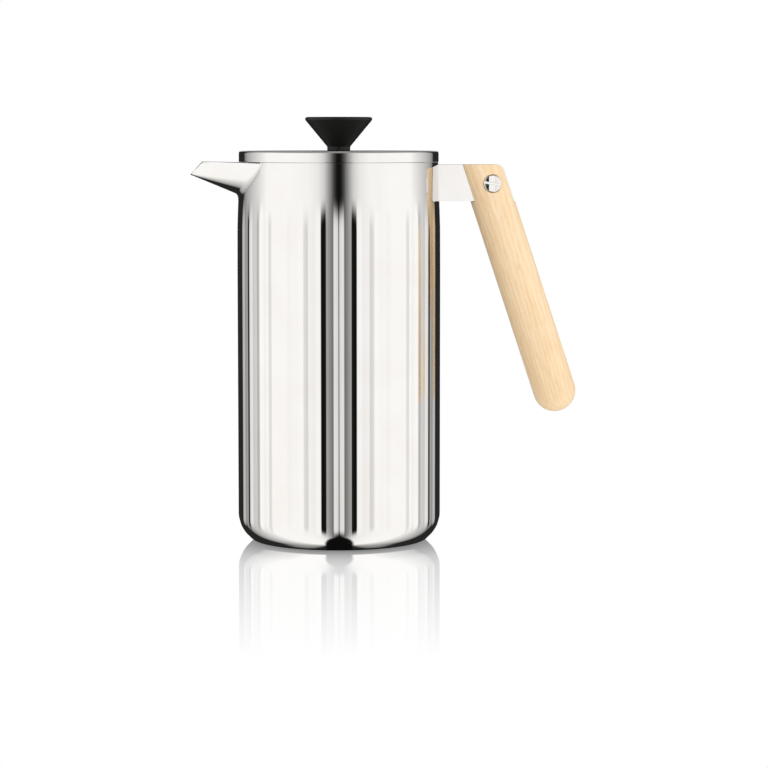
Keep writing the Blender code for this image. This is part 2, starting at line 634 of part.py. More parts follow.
def knob(plastic, plunger):
    """The tapered knob: a short neck, a straight flare and a rounded top edge."""
    bore = THREAD_RADIUS + GAP + INSERT_WALL + GAP
    edge = KNOB_EDGE
    rod_end = COLLAR_HEIGHT
    depth = rod_end + GAP + INSERT_LENGTH + 2 * GAP
    rim = (KNOB_RADIUS - edge, KNOB_HEIGHT - edge)
    profile = [(bore, 0.0), (KNOB_NECK_RADIUS, 0.0), (KNOB_NECK_RADIUS, KNOB_NECK_HEIGHT),
               *arc(rim, edge, -40, 90, 4), (0.0, KNOB_HEIGHT - KNOB_DISH)]
    profile = [(0.0, depth), (bore, depth), *profile]
    place(turned(profile, KNOB_STEPS), "knob", plastic, plunger, LID_TOP + GAP)
    base = LID_TOP + GAP + rod_end + GAP
    thread = THREAD_RADIUS + GAP
    insert = [(thread, 0.0), (thread + INSERT_WALL, 0.0), (thread + INSERT_WALL, INSERT_LENGTH),
              (thread, INSERT_LENGTH)]
    return turned(insert, SMALL_STEPS), base


def plunger_pieces(steel, brass, plastic, plunger):
    """The knob with its threaded insert, the rod, and the collar that presses on the filter."""
    insert, insert_base = knob(plastic, plunger)
    place(insert, "knob_insert", brass, plunger, insert_base)
    heights = filter_heights()
    foot = heights["collar"] + COLLAR_HEIGHT + GAP
    shoulder = insert_base - GAP - foot
    top = insert_base + INSERT_LENGTH - GAP - foot
    thread_end = FILTER_BASE + GAP - foot
    rod = [(0.0, thread_end), (THREAD_RADIUS, thread_end), (THREAD_RADIUS, 0.0), (ROD_RADIUS, 0.0),
           (ROD_RADIUS, shoulder), (THREAD_RADIUS, shoulder), (THREAD_RADIUS, top), (0.0, top)]
    place(turned(rod, SMALL_STEPS), "plunger_rod", steel, plunger, foot)
    bore = THREAD_RADIUS + GAP
    collar = [(bore, 0.0), (COLLAR_RADIUS, 0.0), (COLLAR_RADIUS, COLLAR_HEIGHT), (bore, COLLAR_HEIGHT)]
    place(turned(collar, SMALL_STEPS), "rod_collar", steel, plunger, heights["collar"])


def hub_nut(steel, carrier):
    """The threaded hub under the filter, whose neck holds the cross plate and the mesh."""
    bore = THREAD_RADIUS + GAP
    heights = filter_heights()
    neck = heights["spiral"] - GAP - heights["hub"]
    profile = [(bore, 0.0), (HUB_FLANGE_RADIUS, 0.0), (HUB_FLANGE_RADIUS, HUB_FLANGE_HEIGHT),
               (HUB_RADIUS, HUB_FLANGE_HEIGHT), (HUB_RADIUS, neck), (bore, neck)]
    place(turned(profile, SMALL_STEPS), "hub_nut", steel, carrier, heights["hub"])


def cross_plate(steel, carrier):
    """The spoked plate that carries the mesh from below."""
    hole = HUB_RADIUS + GAP
    profile = [(hole, 0.0), (CROSS_PLATE_RADIUS, 0.0), (CROSS_PLATE_RADIUS, CROSS_PLATE_WALL),
               (hole, CROSS_PLATE_WALL)]
    height = filter_heights()["cross"]
    made = place(turned(profile, ROUND_STEPS), "cross_plate", steel, carrier, height)
    outer = CROSS_PLATE_RADIUS - CROSS_RING_WIDTH
    inner = HUB_RADIUS + 2 * CROSS_RING_WIDTH
    windows = []
    for i in range(CROSS_PLATE_SPOKES):
        middle = math.tau * (i + 0.5) / CROSS_PLATE_SPOKES
        outline = []
        for radius, order in ((inner, 1), (outer, -1)):
            half = math.pi / CROSS_PLATE_SPOKES - CROSS_SPOKE_WIDTH / 2 / radius
            for j in (-1, -0.33, 0.33, 1):
                turn = middle + order * j * half
                outline.append((radius * math.cos(turn), radius * math.sin(turn)))
        windows.append(prism(outline, height - OVERRUN, height + OVERRUN, axis="Z"))
    boolean(made, joined(windows), "cross_windows")


def filter_mesh(weave, carrier):
    """The woven strainer as a plain sheet with an upturned rim."""
    hole = HUB_RADIUS + GAP
    outer = FILTER_RADIUS
    profile = [(hole, 0.0), (outer - MESH_WALL, 0.0), (outer, MESH_WALL), (outer, MESH_RIM_HEIGHT),
               (outer - MESH_WALL, MESH_RIM_HEIGHT), (outer - MESH_WALL, MESH_WALL + MESH_WALL),
               (outer - 2 * MESH_WALL, MESH_WALL), (hole, MESH_WALL)]
    place(turned(profile, ROUND_STEPS), "filter_mesh", weave, carrier, filter_heights()["mesh"])


def spring_ring_radius():
    """Radius of the edge spring's own centre line."""
    return FILTER_RADIUS - MESH_WALL - GAP - SPRING_RADIUS


def edge_spring(steel, carrier):
    """The coil that presses the mesh against the vessel, as the plain ring that it fills."""
    ring = arc((spring_ring_radius(), SPRING_RADIUS), SPRING_RADIUS, 0, 315, 7)
    height = filter_heights()["mesh"] + 2 * MESH_WALL + GAP
    place(turned(ring, ROUND_STEPS), "edge_spring", steel, carrier, height)


def spiral_plate(steel, carrier):
    """The dished and drilled plate on top of the mesh, which carries the edge spring."""
    hole = THREAD_RADIUS + GAP
    edge = spring_ring_radius() - SPRING_RADIUS - GAP
    hub = 2 * COLLAR_RADIUS
    slope_end = hub + SPIRAL_DISH * 2
    wall = SPIRAL_PLATE_WALL
    profile = [(hole, SPIRAL_DISH), (hub, SPIRAL_DISH), (slope_end, 0.0), (edge, 0.0), (edge, wall),
               (slope_end, wall), (hub, SPIRAL_DISH + wall), (hole, SPIRAL_DISH + wall)]
    height = filter_heights()["spiral"]
    made = place(turned(profile, ROUND_STEPS), "spiral_plate", steel, carrier, height)
    ring = (slope_end + edge) / 2
    holes = []
    for i in range(SPIRAL_HOLES):
        turn = math.tau * i / SPIRAL_HOLES
        at = (ring * math.cos(turn), ring * math.sin(turn))
        holes.append(cylinder(SPIRAL_HOLE_RADIUS, height - OVERRUN, height + OVERRUN, 12, at=at))
    boolean(made, joined(holes), "spiral_holes")


def main():
    """Builds every piece, grouped by what moves together."""
    for old in list(bpy.data.objects):
        bpy.data.objects.remove(old)
    polished = material("polished_steel", (0.78, 0.77, 0.76), 0.08, 1.0)
    satin = material("satin_steel", (0.70, 0.70, 0.70), 0.28, 1.0)
    weave = material("woven_steel", (0.62, 0.62, 0.62), 0.40, 1.0)
    brass = material("brass", (0.72, 0.56, 0.30), 0.30, 1.0)
    wood = material("oak", (0.80, 0.62, 0.38), 0.55)
    black = material("black_plastic", (0.015, 0.015, 0.015), 0.38)
    rubber = material("silicone", (0.06, 0.06, 0.06), 0.60)

    pot = group("pot")
    ring = group("lid_ring", pot, LINER_BOTTOM)
    lid = group("lid", ring, LID_TOP - LINER_BOTTOM)
    carrier = group("filter", lid, FILTER_BASE - LID_TOP)
    plunger = group("plunger", carrier)

    outer_shell(polished, pot)
    inner_vessel(satin, pot)
    base_pieces(satin, rubber, pot)
    spout(polished, pot)
    handle_bracket(polished, pot)
    handle_grip(wood, pot)
    handle_fasteners(polished, pot)
    lid_seal(rubber, ring)
    lid_cover(polished, lid)
    lid_liner(black, lid)
    rod_bushing(black, lid)
    hub_nut(satin, carrier)
    cross_plate(satin, carrier)
    filter_mesh(weave, carrier)
    edge_spring(satin, carrier)
    spiral_plate(satin, carrier)
    plunger_pieces(satin, brass, black, plunger)


main()
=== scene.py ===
"""A double-walled french press: fluted steel pot with a beak, wooden bar handle, lid, plunger and filter."""
import logging
from dataclasses import dataclass
from enum import Enum
from functools import partial
from math import asin, copysign, cos, hypot, pi, radians, sin, sqrt, tan, tau
from typing import Callable

import bmesh
import bpy
from bmesh.types import BMesh, BMVert
from bpy.types import Material, Node, NodeOutputs, NodeSocket, NodeTree, Object
from mathutils import Matrix, Vector


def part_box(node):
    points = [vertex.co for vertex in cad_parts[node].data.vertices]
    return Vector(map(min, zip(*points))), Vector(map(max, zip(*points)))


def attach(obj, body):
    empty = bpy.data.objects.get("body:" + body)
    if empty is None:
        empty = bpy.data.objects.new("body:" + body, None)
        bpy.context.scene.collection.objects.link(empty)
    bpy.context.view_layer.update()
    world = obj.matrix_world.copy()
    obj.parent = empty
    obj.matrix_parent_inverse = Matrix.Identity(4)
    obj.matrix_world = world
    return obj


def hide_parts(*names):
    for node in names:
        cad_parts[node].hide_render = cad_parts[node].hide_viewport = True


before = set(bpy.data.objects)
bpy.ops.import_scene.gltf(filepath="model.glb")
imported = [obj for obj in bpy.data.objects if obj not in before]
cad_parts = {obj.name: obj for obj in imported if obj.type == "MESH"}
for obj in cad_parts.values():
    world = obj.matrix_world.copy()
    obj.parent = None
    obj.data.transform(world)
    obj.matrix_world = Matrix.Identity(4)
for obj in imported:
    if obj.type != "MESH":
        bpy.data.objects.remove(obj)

LOG = logging.getLogger("french_press")
MM = 0.001
Outline = list[tuple[float, float]]
Place = Callable[[float, float, float], Vector]
NODE_PREFIXES = ("ShaderNode", "GeometryNode", "Node")
WHITE = (1.0, 1.0, 1.0, 1.0)


class Slot(Enum):
    """The record's material slots."""

    POLISHED = "polished_steel"
    SATIN = "satin_steel"
    WOVEN = "woven_steel"
    BRASS = "brass"
    OAK = "oak"
    PLASTIC = "black_plastic"
    SILICONE = "silicone"


class Body(Enum):
    """The parts of the press that move as one."""

    POT = "pot"
    LID_RING = "lid_ring"
    LID = "lid"
    FILTER = "filter"
    PLUNGER = "plunger"


# ---------------------------------------------------------------- nodes

def feed(node: Node, inputs: dict[str | int, object]) -> None:
    """Links or sets a node's inputs.

    Args:
        node: The node.
        inputs: For each input, by name or number: a socket to link, a node whose first output is linked,
            or a plain value.
    """
    for key, value in inputs.items():
        if isinstance(value, Node):
            value = value.outputs[0]
        if isinstance(value, NodeSocket):
            node.id_data.links.new(value, node.inputs[key])
        else:
            node.inputs[key].default_value = value


def add_node(tree: NodeTree, kind: str, *values: object, **settings: object) -> Node:
    """Adds a node with its settings and links.

    Args:
        tree: The node tree that gets the node.
        kind: The node's type name without its prefix. Its operation may follow a colon.
        *values: What the inputs get, in order, or one dictionary as feed takes it.
        **settings: Attributes of the node.

    Returns:
        The new node.
    """
    name, _, operation = kind.partition(":")
    made = tree.nodes.new(next(p + name for p in NODE_PREFIXES if hasattr(bpy.types, p + name)))
    if operation:
        made.operation = operation
    for key, value in settings.items():
        setattr(made, key, value)
    feed(made, values[0] if values and isinstance(values[0], dict) else dict(enumerate(values)))
    return made


def linear(colour: str, scale: float = 1.0) -> tuple[float, float, float, float]:
    """Turns an sRGB hex colour into linear RGBA.

    Args:
        colour: Six hex digits after a hash sign.
        scale: A factor on the linear values.

    Returns:
        Red, green, blue and an alpha of 1.
    """
    parts = [int(colour[i:i + 2], 16) / 255 for i in (1, 3, 5)]
    values = [p / 12.92 if p <= 0.04045 else ((p + 0.055) / 1.055) ** 2.4 for p in parts]
    return (*(scale * v for v in values), 1.0)


def set_stops(node: Node, stops: list[tuple[float, tuple]]) -> None:
    """Gives a colour ramp its stops, as (position, linear RGBA) pairs in rising order."""
    elements = node.color_ramp.elements
    while len(elements) > 1:
        elements.remove(elements[-1])
    elements[0].position, elements[0].color = stops[0]
    for position, colour in stops[1:]:
        elements.new(position).color = colour


# ---------------------------------------------------------------- finishes

@dataclass(frozen=True)
class Finish:
    """What every finish has: a name, a base colour, and how rough and metallic the surface is."""

    name: str
    colour: str
    roughness: float
    metallic: float = 0.0
    ior: float = 1.5

    def start(self) -> tuple[Material, Callable, Node, NodeSocket]:
        """Makes the material with its shader.

        Returns:
            The material, add_node for its tree, its Principled shader and the Object coordinates.
        """
        material = bpy.data.materials.new(self.name)
        material.use_nodes = True
        node = partial(add_node, material.node_tree)
        shader = material.node_tree.nodes["Principled BSDF"]
        feed(shader, {"Base Color": linear(self.colour), "Metallic": self.metallic,
                      "Roughness": self.roughness})
        if not self.metallic:
            feed(shader, {"IOR": self.ior})
        return material, node, shader, node("TexCoord").outputs["Object"]

    def vary(self, shader: Node, factor: Node, spread: float, other: str) -> None:
        """Lets a pattern change the colour and the roughness a little.

        Args:
            shader: The material's Principled shader.
            factor: The pattern, from 0 to 1.
            spread: How much rougher the surface is where the pattern is 1.
            other: The colour there, as sRGB hex.
        """
        node = partial(add_node, shader.id_data)
        mixed = node("Mix", {0: factor, 6: linear(self.colour), 7: linear(other)}, data_type="RGBA")
        rough = node("MapRange", {"Value": factor, "To Min": self.roughness,
                                  "To Max": self.roughness + spread})
        feed(shader, {"Base Color": mixed.outputs[2], "Roughness": rough})

    def build(self) -> Material:
        """Makes the finish's material."""
        raise NotImplementedError


@dataclass(frozen=True)
class MirrorSteel(Finish):
    """Deep-drawn 18/8 stainless steel, buffed to a mirror: clear reflections with a faint haze of wiping."""

    haze_mm: float = 22.0
    other: str = "#DDD9D5"

    def build(self) -> Material:
        """Haze in patches a few centimetres wide."""
        material, node, shader, place = self.start()
        haze = node("TexNoise", {"Vector": place, "Scale": 1 / (self.haze_mm * MM), "Detail": 3.0})
        self.vary(shader, haze, 0.03, self.other)
        return material


@dataclass(frozen=True)
class BrushedSteel(Finish):
    """Stainless steel with a belt-brushed or spun surface: soft, streaked reflections."""

    line_mm: float = 0.35
    stretch: tuple[float, float, float] = (1.0, 1.0, 12.0)
    other: str = "#A9A8A6"

    def build(self) -> Material:
        """Brushing lines, drawn three times as coarse as real ones so that they show."""
        material, node, shader, place = self.start()
        squeeze = node("Mapping", {"Vector": place, "Scale": self.stretch})
        lines = node("TexNoise", {"Vector": squeeze, "Scale": 0.3 / (self.line_mm * MM), "Detail": 4.0})
        self.vary(shader, lines, 0.12, self.other)
        feed(shader, {"Normal": node("Bump", {"Height": lines, "Strength": 0.12, "Distance": 0.02 * MM})})
        return material


@dataclass(frozen=True)
class MouldedBlack(Finish):
    """Black polypropylene from a spark-eroded mould: a dull surface with a fine even grain."""

    grain_mm: float = 0.25
    other: str = "#141312"
    sheen_level: float = 0.5

    def build(self) -> Material:
        """A fine grain in the surface and a slow change in how dull it is."""
        material, node, shader, place = self.start()
        patches = node("TexNoise", {"Vector": place, "Scale": 1 / (9 * MM)})
        self.vary(shader, patches, 0.08, self.other)
        grain = node("TexNoise", {"Vector": place, "Scale": 1 / (self.grain_mm * MM), "Detail": 2.0})
        bump = node("Bump", {"Height": grain, "Strength": 0.25, "Distance": 0.03 * MM})
        feed(shader, {"Specular IOR Level": self.sheen_level, "Normal": bump})
        return material


@dataclass(frozen=True)
class OakGrain(Finish):
    """Oiled white oak, turned and sanded: pale, with straight growth rings and short darker pores."""

    ring_mm: float = 1.6
    pore_mm: float = 0.5
    streak_mm: float = 0.9
    cloud_mm: float = 9.0
    late_wood: str = "#DFAF74"
    pore: str = "#C99A60"
    lean: float = 0.0
    centre: tuple[float, float, float] = (0.0, 0.0, 0.0)

    def build(self) -> Material:
        """Growth rings round a centre well outside the bar, pores along it, and a cloudy warmth."""
        material, node, shader, place = self.start()
        bar = node("Mapping", {"Vector": place, "Location": self.centre, "Rotation": (0.0, self.lean, 0.0)},
                   vector_type="TEXTURE")
        tilted = node("Mapping", {"Vector": bar, "Location": (9 * MM, -12 * MM, 0.0),
                                  "Rotation": (radians(2.5), radians(-4.5), 0.0),
                                  "Scale": (1.0, 0.55, 1.0)})
        rings = node("TexWave", {"Vector": tilted, "Scale": 0.314 / (self.ring_mm * MM), "Distortion": 1.2,
                                 "Detail": 3.0, "Detail Scale": 0.35, "Detail Roughness": 0.6},
                     wave_type="RINGS", rings_direction="Z")
        stretched = node("Mapping", {"Vector": bar, "Scale": (1.0, 1.0, 0.085)})
        streaks = node("TexNoise", {"Vector": stretched, "Scale": 1 / (self.streak_mm * MM), "Detail": 6.0,
                                    "Roughness": 0.72})
        pores = node("TexNoise", {"Vector": stretched, "Scale": 1 / (self.pore_mm * MM), "Detail": 2.0})
        cloud = node("TexNoise", {"Vector": stretched, "Scale": 1 / (self.cloud_mm * MM), "Detail": 2.0})
        figure = node("Math:MULTIPLY_ADD", rings.outputs["Fac"], 0.14, streaks)
        warmed = node("Math:MULTIPLY_ADD", cloud, 0.6, figure)
        share = node("MapRange", {"Value": warmed, "From Min": 0.62, "From Max": 1.45})
        wood = node("Mix", {0: share, 6: linear(self.colour), 7: linear(self.late_wood)}, data_type="RGBA")
        open_pores = node("MapRange", {"Value": pores, "From Min": 0.63, "From Max": 0.75, "To Max": 0.45})
        dotted = node("Mix", {0: open_pores, 6: wood.outputs[2], 7: linear(self.pore)}, data_type="RGBA")
        dull = node("MapRange", {"Value": streaks, "To Min": self.roughness - 0.06,
                                 "To Max": self.roughness + 0.10})
        bump = node("Bump", {"Height": streaks, "Strength": 0.15, "Distance": 0.05 * MM})
        feed(shader, {"Base Color": dotted.outputs[2], "Roughness": dull, "Normal": bump})
        return material


# ---------------------------------------------------------------- meshes

def arc(centre: tuple[float, float], radius: float, start: float, end: float, steps: int) -> Outline:
    """Points of an arc, both ends included.

    Args:
        centre: Its centre, as (radius, height).
        radius: Its own radius.
        start: The first point's angle in degrees.
        end: The last point's angle in degrees.
        steps: How many stretches it has.

    Returns:
        The points, as (radius, height) pairs.
    """
    angles = [radians(start + (end - start) * i / steps) for i in range(steps + 1)]
    return [(centre[0] + radius * cos(a), centre[1] + radius * sin(a)) for a in angles]


def rounded(corners: list[tuple[float, float, float]], steps: int = 4) -> Outline:
    """A closed outline whose corners are rounded.

    Args:
        corners: (radius, height, rounding) of each corner, in order. No rounding leaves it sharp.
        steps: Stretches in each rounded corner.

    Returns:
        The outline's points.
    """
    points: Outline = []
    for i, (x, z, rounding) in enumerate(corners):
        here = Vector((x, z))
        before = Vector(corners[i - 1][:2]) - here
        after = Vector(corners[(i + 1) % len(corners)][:2]) - here
        if rounding <= 0.0 or before.length < 1e-9 or after.length < 1e-9:
            points.append((x, z))
            continue
        half = before.angle(after) / 2
        back = min(rounding / tan(half), before.length * 0.49, after.length * 0.49)
        first, last = here + before.normalized() * back, here + after.normalized() * back
        for k in range(steps + 1):
            t = k / steps
            bent = first * (1 - t) ** 2 + here * 2 * t * (1 - t) + last * t ** 2
            points.append((bent.x, bent.y))
    return points


def settle(bm: BMesh, name: str, sharp: float = 32.0) -> Object:
    """Turns a bmesh into an object with merged doubles, outward faces and smooth shading.

    Args:
        bm: The shape, which is freed.
        name: The piece's name.
        sharp: Edges that bend more than this, in degrees, stay sharp.

    Returns:
        The object, at the origin, in the scene.
    """
    bmesh.ops.remove_doubles(bm, verts=bm.verts, dist=2e-6)
    bmesh.ops.dissolve_degenerate(bm, edges=bm.edges, dist=1e-7)
    bmesh.ops.recalc_face_normals(bm, faces=bm.faces)
    mesh = bpy.data.meshes.new(name)
    bm.to_mesh(mesh)
    bm.free()
    mesh.shade_smooth()
    mesh.set_sharp_from_angle(angle=radians(sharp))
    made = bpy.data.objects.new(name, mesh)
    bpy.context.scene.collection.objects.link(made)
    return made


def add_skin(bm: BMesh, rows: list[list[Vector]], around: bool = True,
             closed: bool = False) -> list[list[BMVert]]:
    """Adds the faces between rows of points.

    Args:
        bm: The bmesh that gets them.
        rows: Rows with the same number of points.
        around: Whether each row closes on itself.
        closed: Whether the last row joins the first.

    Returns:
        The vertices, row by row.
    """
    made = [[bm.verts.new(point) for point in row] for row in rows]
    count = len(rows[0])
    pairs = list(zip(made, made[1:])) + ([(made[-1], made[0])] if closed else [])
    for low, high in pairs:
        for i in range(count if around else count - 1):
            j = (i + 1) % count
            bm.faces.new((low[i], low[j], high[j], high[i]))
    return made


def round_row(radius: float, height: float, angles: list[float]) -> list[Vector]:
    """Points at one radius and height, at each of the angles."""
    return [Vector((radius * cos(a), radius * sin(a), height)) for a in angles]


def even_angles(steps: int) -> list[float]:
    """Angles all the way round in even steps."""
    return [tau * i / steps for i in range(steps)]


def turned(name: str, outline: Outline, steps: int = 128, sharp: float = 32.0,
           closed: bool = True) -> Object:
    """An outline turned about the pot's axis.

    Args:
        name: The piece's name.
        outline: (radius, height) points.
        steps: Stretches round the axis.
        sharp: The angle past which an edge stays sharp.
        closed: Whether the outline's end joins its start. If not, both lie on the axis.

    Returns:
        The object.
    """
    bm = bmesh.new()
    angles = even_angles(steps)
    add_skin(bm, [round_row(r, z, angles) for r, z in outline], closed=closed)
    return settle(bm, name, sharp)


def windowed_sector(bm: BMesh, edge: Outline, window: Outline, low: float, high: float,
                    place: Place, open_sides: float) -> None:
    """Adds one sector of a wall with a window through it.

    Args:
        bm: The bmesh that gets it.
        edge: The sector's edge, as (across, turn) points, as many as the window has.
        window: The window's edge.
        low: Where the wall's thickness starts.
        high: Where it ends.
        place: Turns (across, turn, thickness) into a place.
        open_sides: Half the sector's turn: edges there meet the next sector and get no face.
    """
    skins = [[[bm.verts.new(place(a, t, w)) for a, t in ring] for ring in (edge, window)]
             for w in (low, high)]
    count = len(edge)
    for i in range(count):
        j = (i + 1) % count
        for ring, hole in skins:
            bm.faces.new((ring[i], ring[j], hole[j], hole[i]))
        bm.faces.new((skins[0][1][i], skins[0][1][j], skins[1][1][j], skins[1][1][i]))
        if min(abs(edge[i][1]), abs(edge[j][1])) < open_sides - 1e-6:
            bm.faces.new((skins[0][0][i], skins[0][0][j], skins[1][0][j], skins[1][0][i]))


def sector_edge(near: float, far: float, half: float, per_side: int) -> Outline:
    """(across, turn) points round a sector, starting at its middle on the far side.

    Args:
        near: Where the sector starts across.
        far: Where it ends.
        half: Half its turn in radians.
        per_side: Stretches on each of its four sides, an even number.

    Returns:
        The points, anticlockwise.
    """
    corners = [(far, 0.0), (far, half), (near, half), (near, -half), (far, -half), (far, 0.0)]
    shares = [per_side // 2, per_side, per_side, per_side, per_side // 2]
    points: Outline = []
    for (a0, t0), (a1, t1), steps in zip(corners, corners[1:], shares):
        points += [(a0 + (a1 - a0) * k / steps, t0 + (t1 - t0) * k / steps) for k in range(steps)]
    return points


def carried_copy(node: str, name: str) -> Object:
    """A merged copy of a CAD node's mesh, with its flat faces whole again.

    Args:
        node: The CAD node's name.
        name: The new piece's name.

    Returns:
        The object.
    """
    bm = bmesh.new()
    bm.from_mesh(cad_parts[node].data)
    bmesh.ops.remove_doubles(bm, verts=bm.verts, dist=1e-6)
    bmesh.ops.dissolve_limit(bm, angle_limit=radians(0.5), verts=bm.verts, edges=bm.edges)
    return settle(bm, name, 12.0)


def joined(name: str, parts: list[Object]) -> Object:
    """Joins several objects into one new piece, name, and deletes them."""
    bm = bmesh.new()
    for part in parts:
        bm.from_mesh(part.data)
        bpy.data.objects.remove(part)
    return settle(bm, name)


def bevel(piece: Object, width: float, segments: int = 3, angle: float = 30.0) -> None:
    """Rounds a piece's sharp edges with a live bevel."""
    step = piece.modifiers.new("edge_rounding", "BEVEL")
    step.width = width
    step.segments = segments
    step.limit_method = "ANGLE"
    step.angle_limit = radians(angle)
    step.harden_normals = True


# ---------------------------------------------------------------- geometry nodes

def new_growth(name: str, sizes: dict[str, float | int]) -> tuple[Callable, NodeOutputs]:
    """Starts a Geometry Nodes tree with a geometry input and named sizes.

    Args:
        name: The tree's name.
        sizes: The name and starting value of each size.

    Returns:
        add_node for the tree, and the outputs of its Group Input node.
    """
    tree = bpy.data.node_groups.new(name, "GeometryNodeTree")
    for side in ("INPUT", "OUTPUT"):
        tree.interface.new_socket("Geometry", in_out=side, socket_type="NodeSocketGeometry")
    for key, value in sizes.items():
        kind = "NodeSocketInt" if isinstance(value, int) else "NodeSocketFloat"
        tree.interface.new_socket(key, in_out="INPUT", socket_type=kind).default_value = value
    node = partial(add_node, tree)
    return node, node("GroupInput").outputs


def end_growth(geometry: Node, material: Material) -> NodeTree:
    """Ends a tree: instances made real, the material set, and the result put out.

    Args:
        geometry: The node that makes the geometry.
        material: The material that it gets.

    Returns:
        The tree.
    """
    node = partial(add_node, geometry.id_data)
    node("GroupOutput", node("SetMaterial", {"Geometry": node("RealizeInstances", geometry),
                                             "Material": material}))
    return geometry.id_data


def grow(piece: Object, tree: NodeTree, sizes: dict[str, float | int],
         sharp: float = 32.0) -> Object:
    """Runs a tree on a piece and keeps the result as its plain mesh.

    Args:
        piece: The object whose mesh goes in.
        tree: The Geometry Nodes tree.
        sizes: The values of the tree's named inputs.
        sharp: The angle past which an edge stays sharp.

    Returns:
        The same object with its new mesh.
    """
    step = piece.modifiers.new(tree.name, "NODES")
    step.node_group = tree
    sockets = {item.name: item.identifier for item in tree.interface.items_tree
               if item.in_out == "INPUT"}
    for key, value in sizes.items():
        step[sockets[key]] = value
    evaluated = piece.evaluated_get(bpy.context.evaluated_depsgraph_get())
    grown = bpy.data.meshes.new_from_object(evaluated)
    piece.modifiers.remove(step)
    piece.data = grown
    grown.name = piece.name
    bm = bmesh.new()
    bm.from_mesh(grown)
    bmesh.ops.remove_doubles(bm, verts=bm.verts, dist=2e-6)
    bmesh.ops.recalc_face_normals(bm, faces=bm.faces)
    bm.to_mesh(grown)
    bm.free()
    grown.shade_smooth()
    grown.set_sharp_from_angle(angle=radians(sharp))
    return piece


def sectors_tree(material: Material) -> NodeTree:
    """A tree that repeats one sector round the pot's axis.

    Args:
        material: The material of the finished ring.

    Returns:
        The tree, with the inputs Count, First turn and Pitch.
    """
    node, size = new_growth("sectors_" + material.name,
                            {"Count": 8, "First turn": 0.0, "Pitch": 0.1})
    points = node("MeshLine", {"Count": size["Count"], "Offset": (0.0, 0.0, 0.0)})
    turn = node("Math:MULTIPLY_ADD", node("InputIndex"), size["Pitch"], size["First turn"])
    ring = node("InstanceOnPoints", {"Points": points, "Instance": size["Geometry"],
                                     "Rotation": node("CombineXYZ", {"Z": turn})})
    return end_growth(ring, material)


def dress(piece: Object, material: Material, slot: Slot, body: Body,
          *nodes: str) -> Object:
    """Gives a piece its material, its body and the CAD nodes that it stands for, and reports it.

    Args:
        piece: The finished object.
        material: Its material.
        slot: The record's slot that the finish belongs to; not used.
        body: The body that it rides on.
        *nodes: The CAD nodes that it replaces.

    Returns:
        The same object.
    """
    piece.data.materials.clear()
    piece.data.materials.append(material)
    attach(piece, body.value)
    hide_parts(*nodes)
    LOG.info("%s: %d faces, rides on %s", piece.name, len(piece.data.polygons), body.value)
    return piece


# ---------------------------------------------------------------- the pot

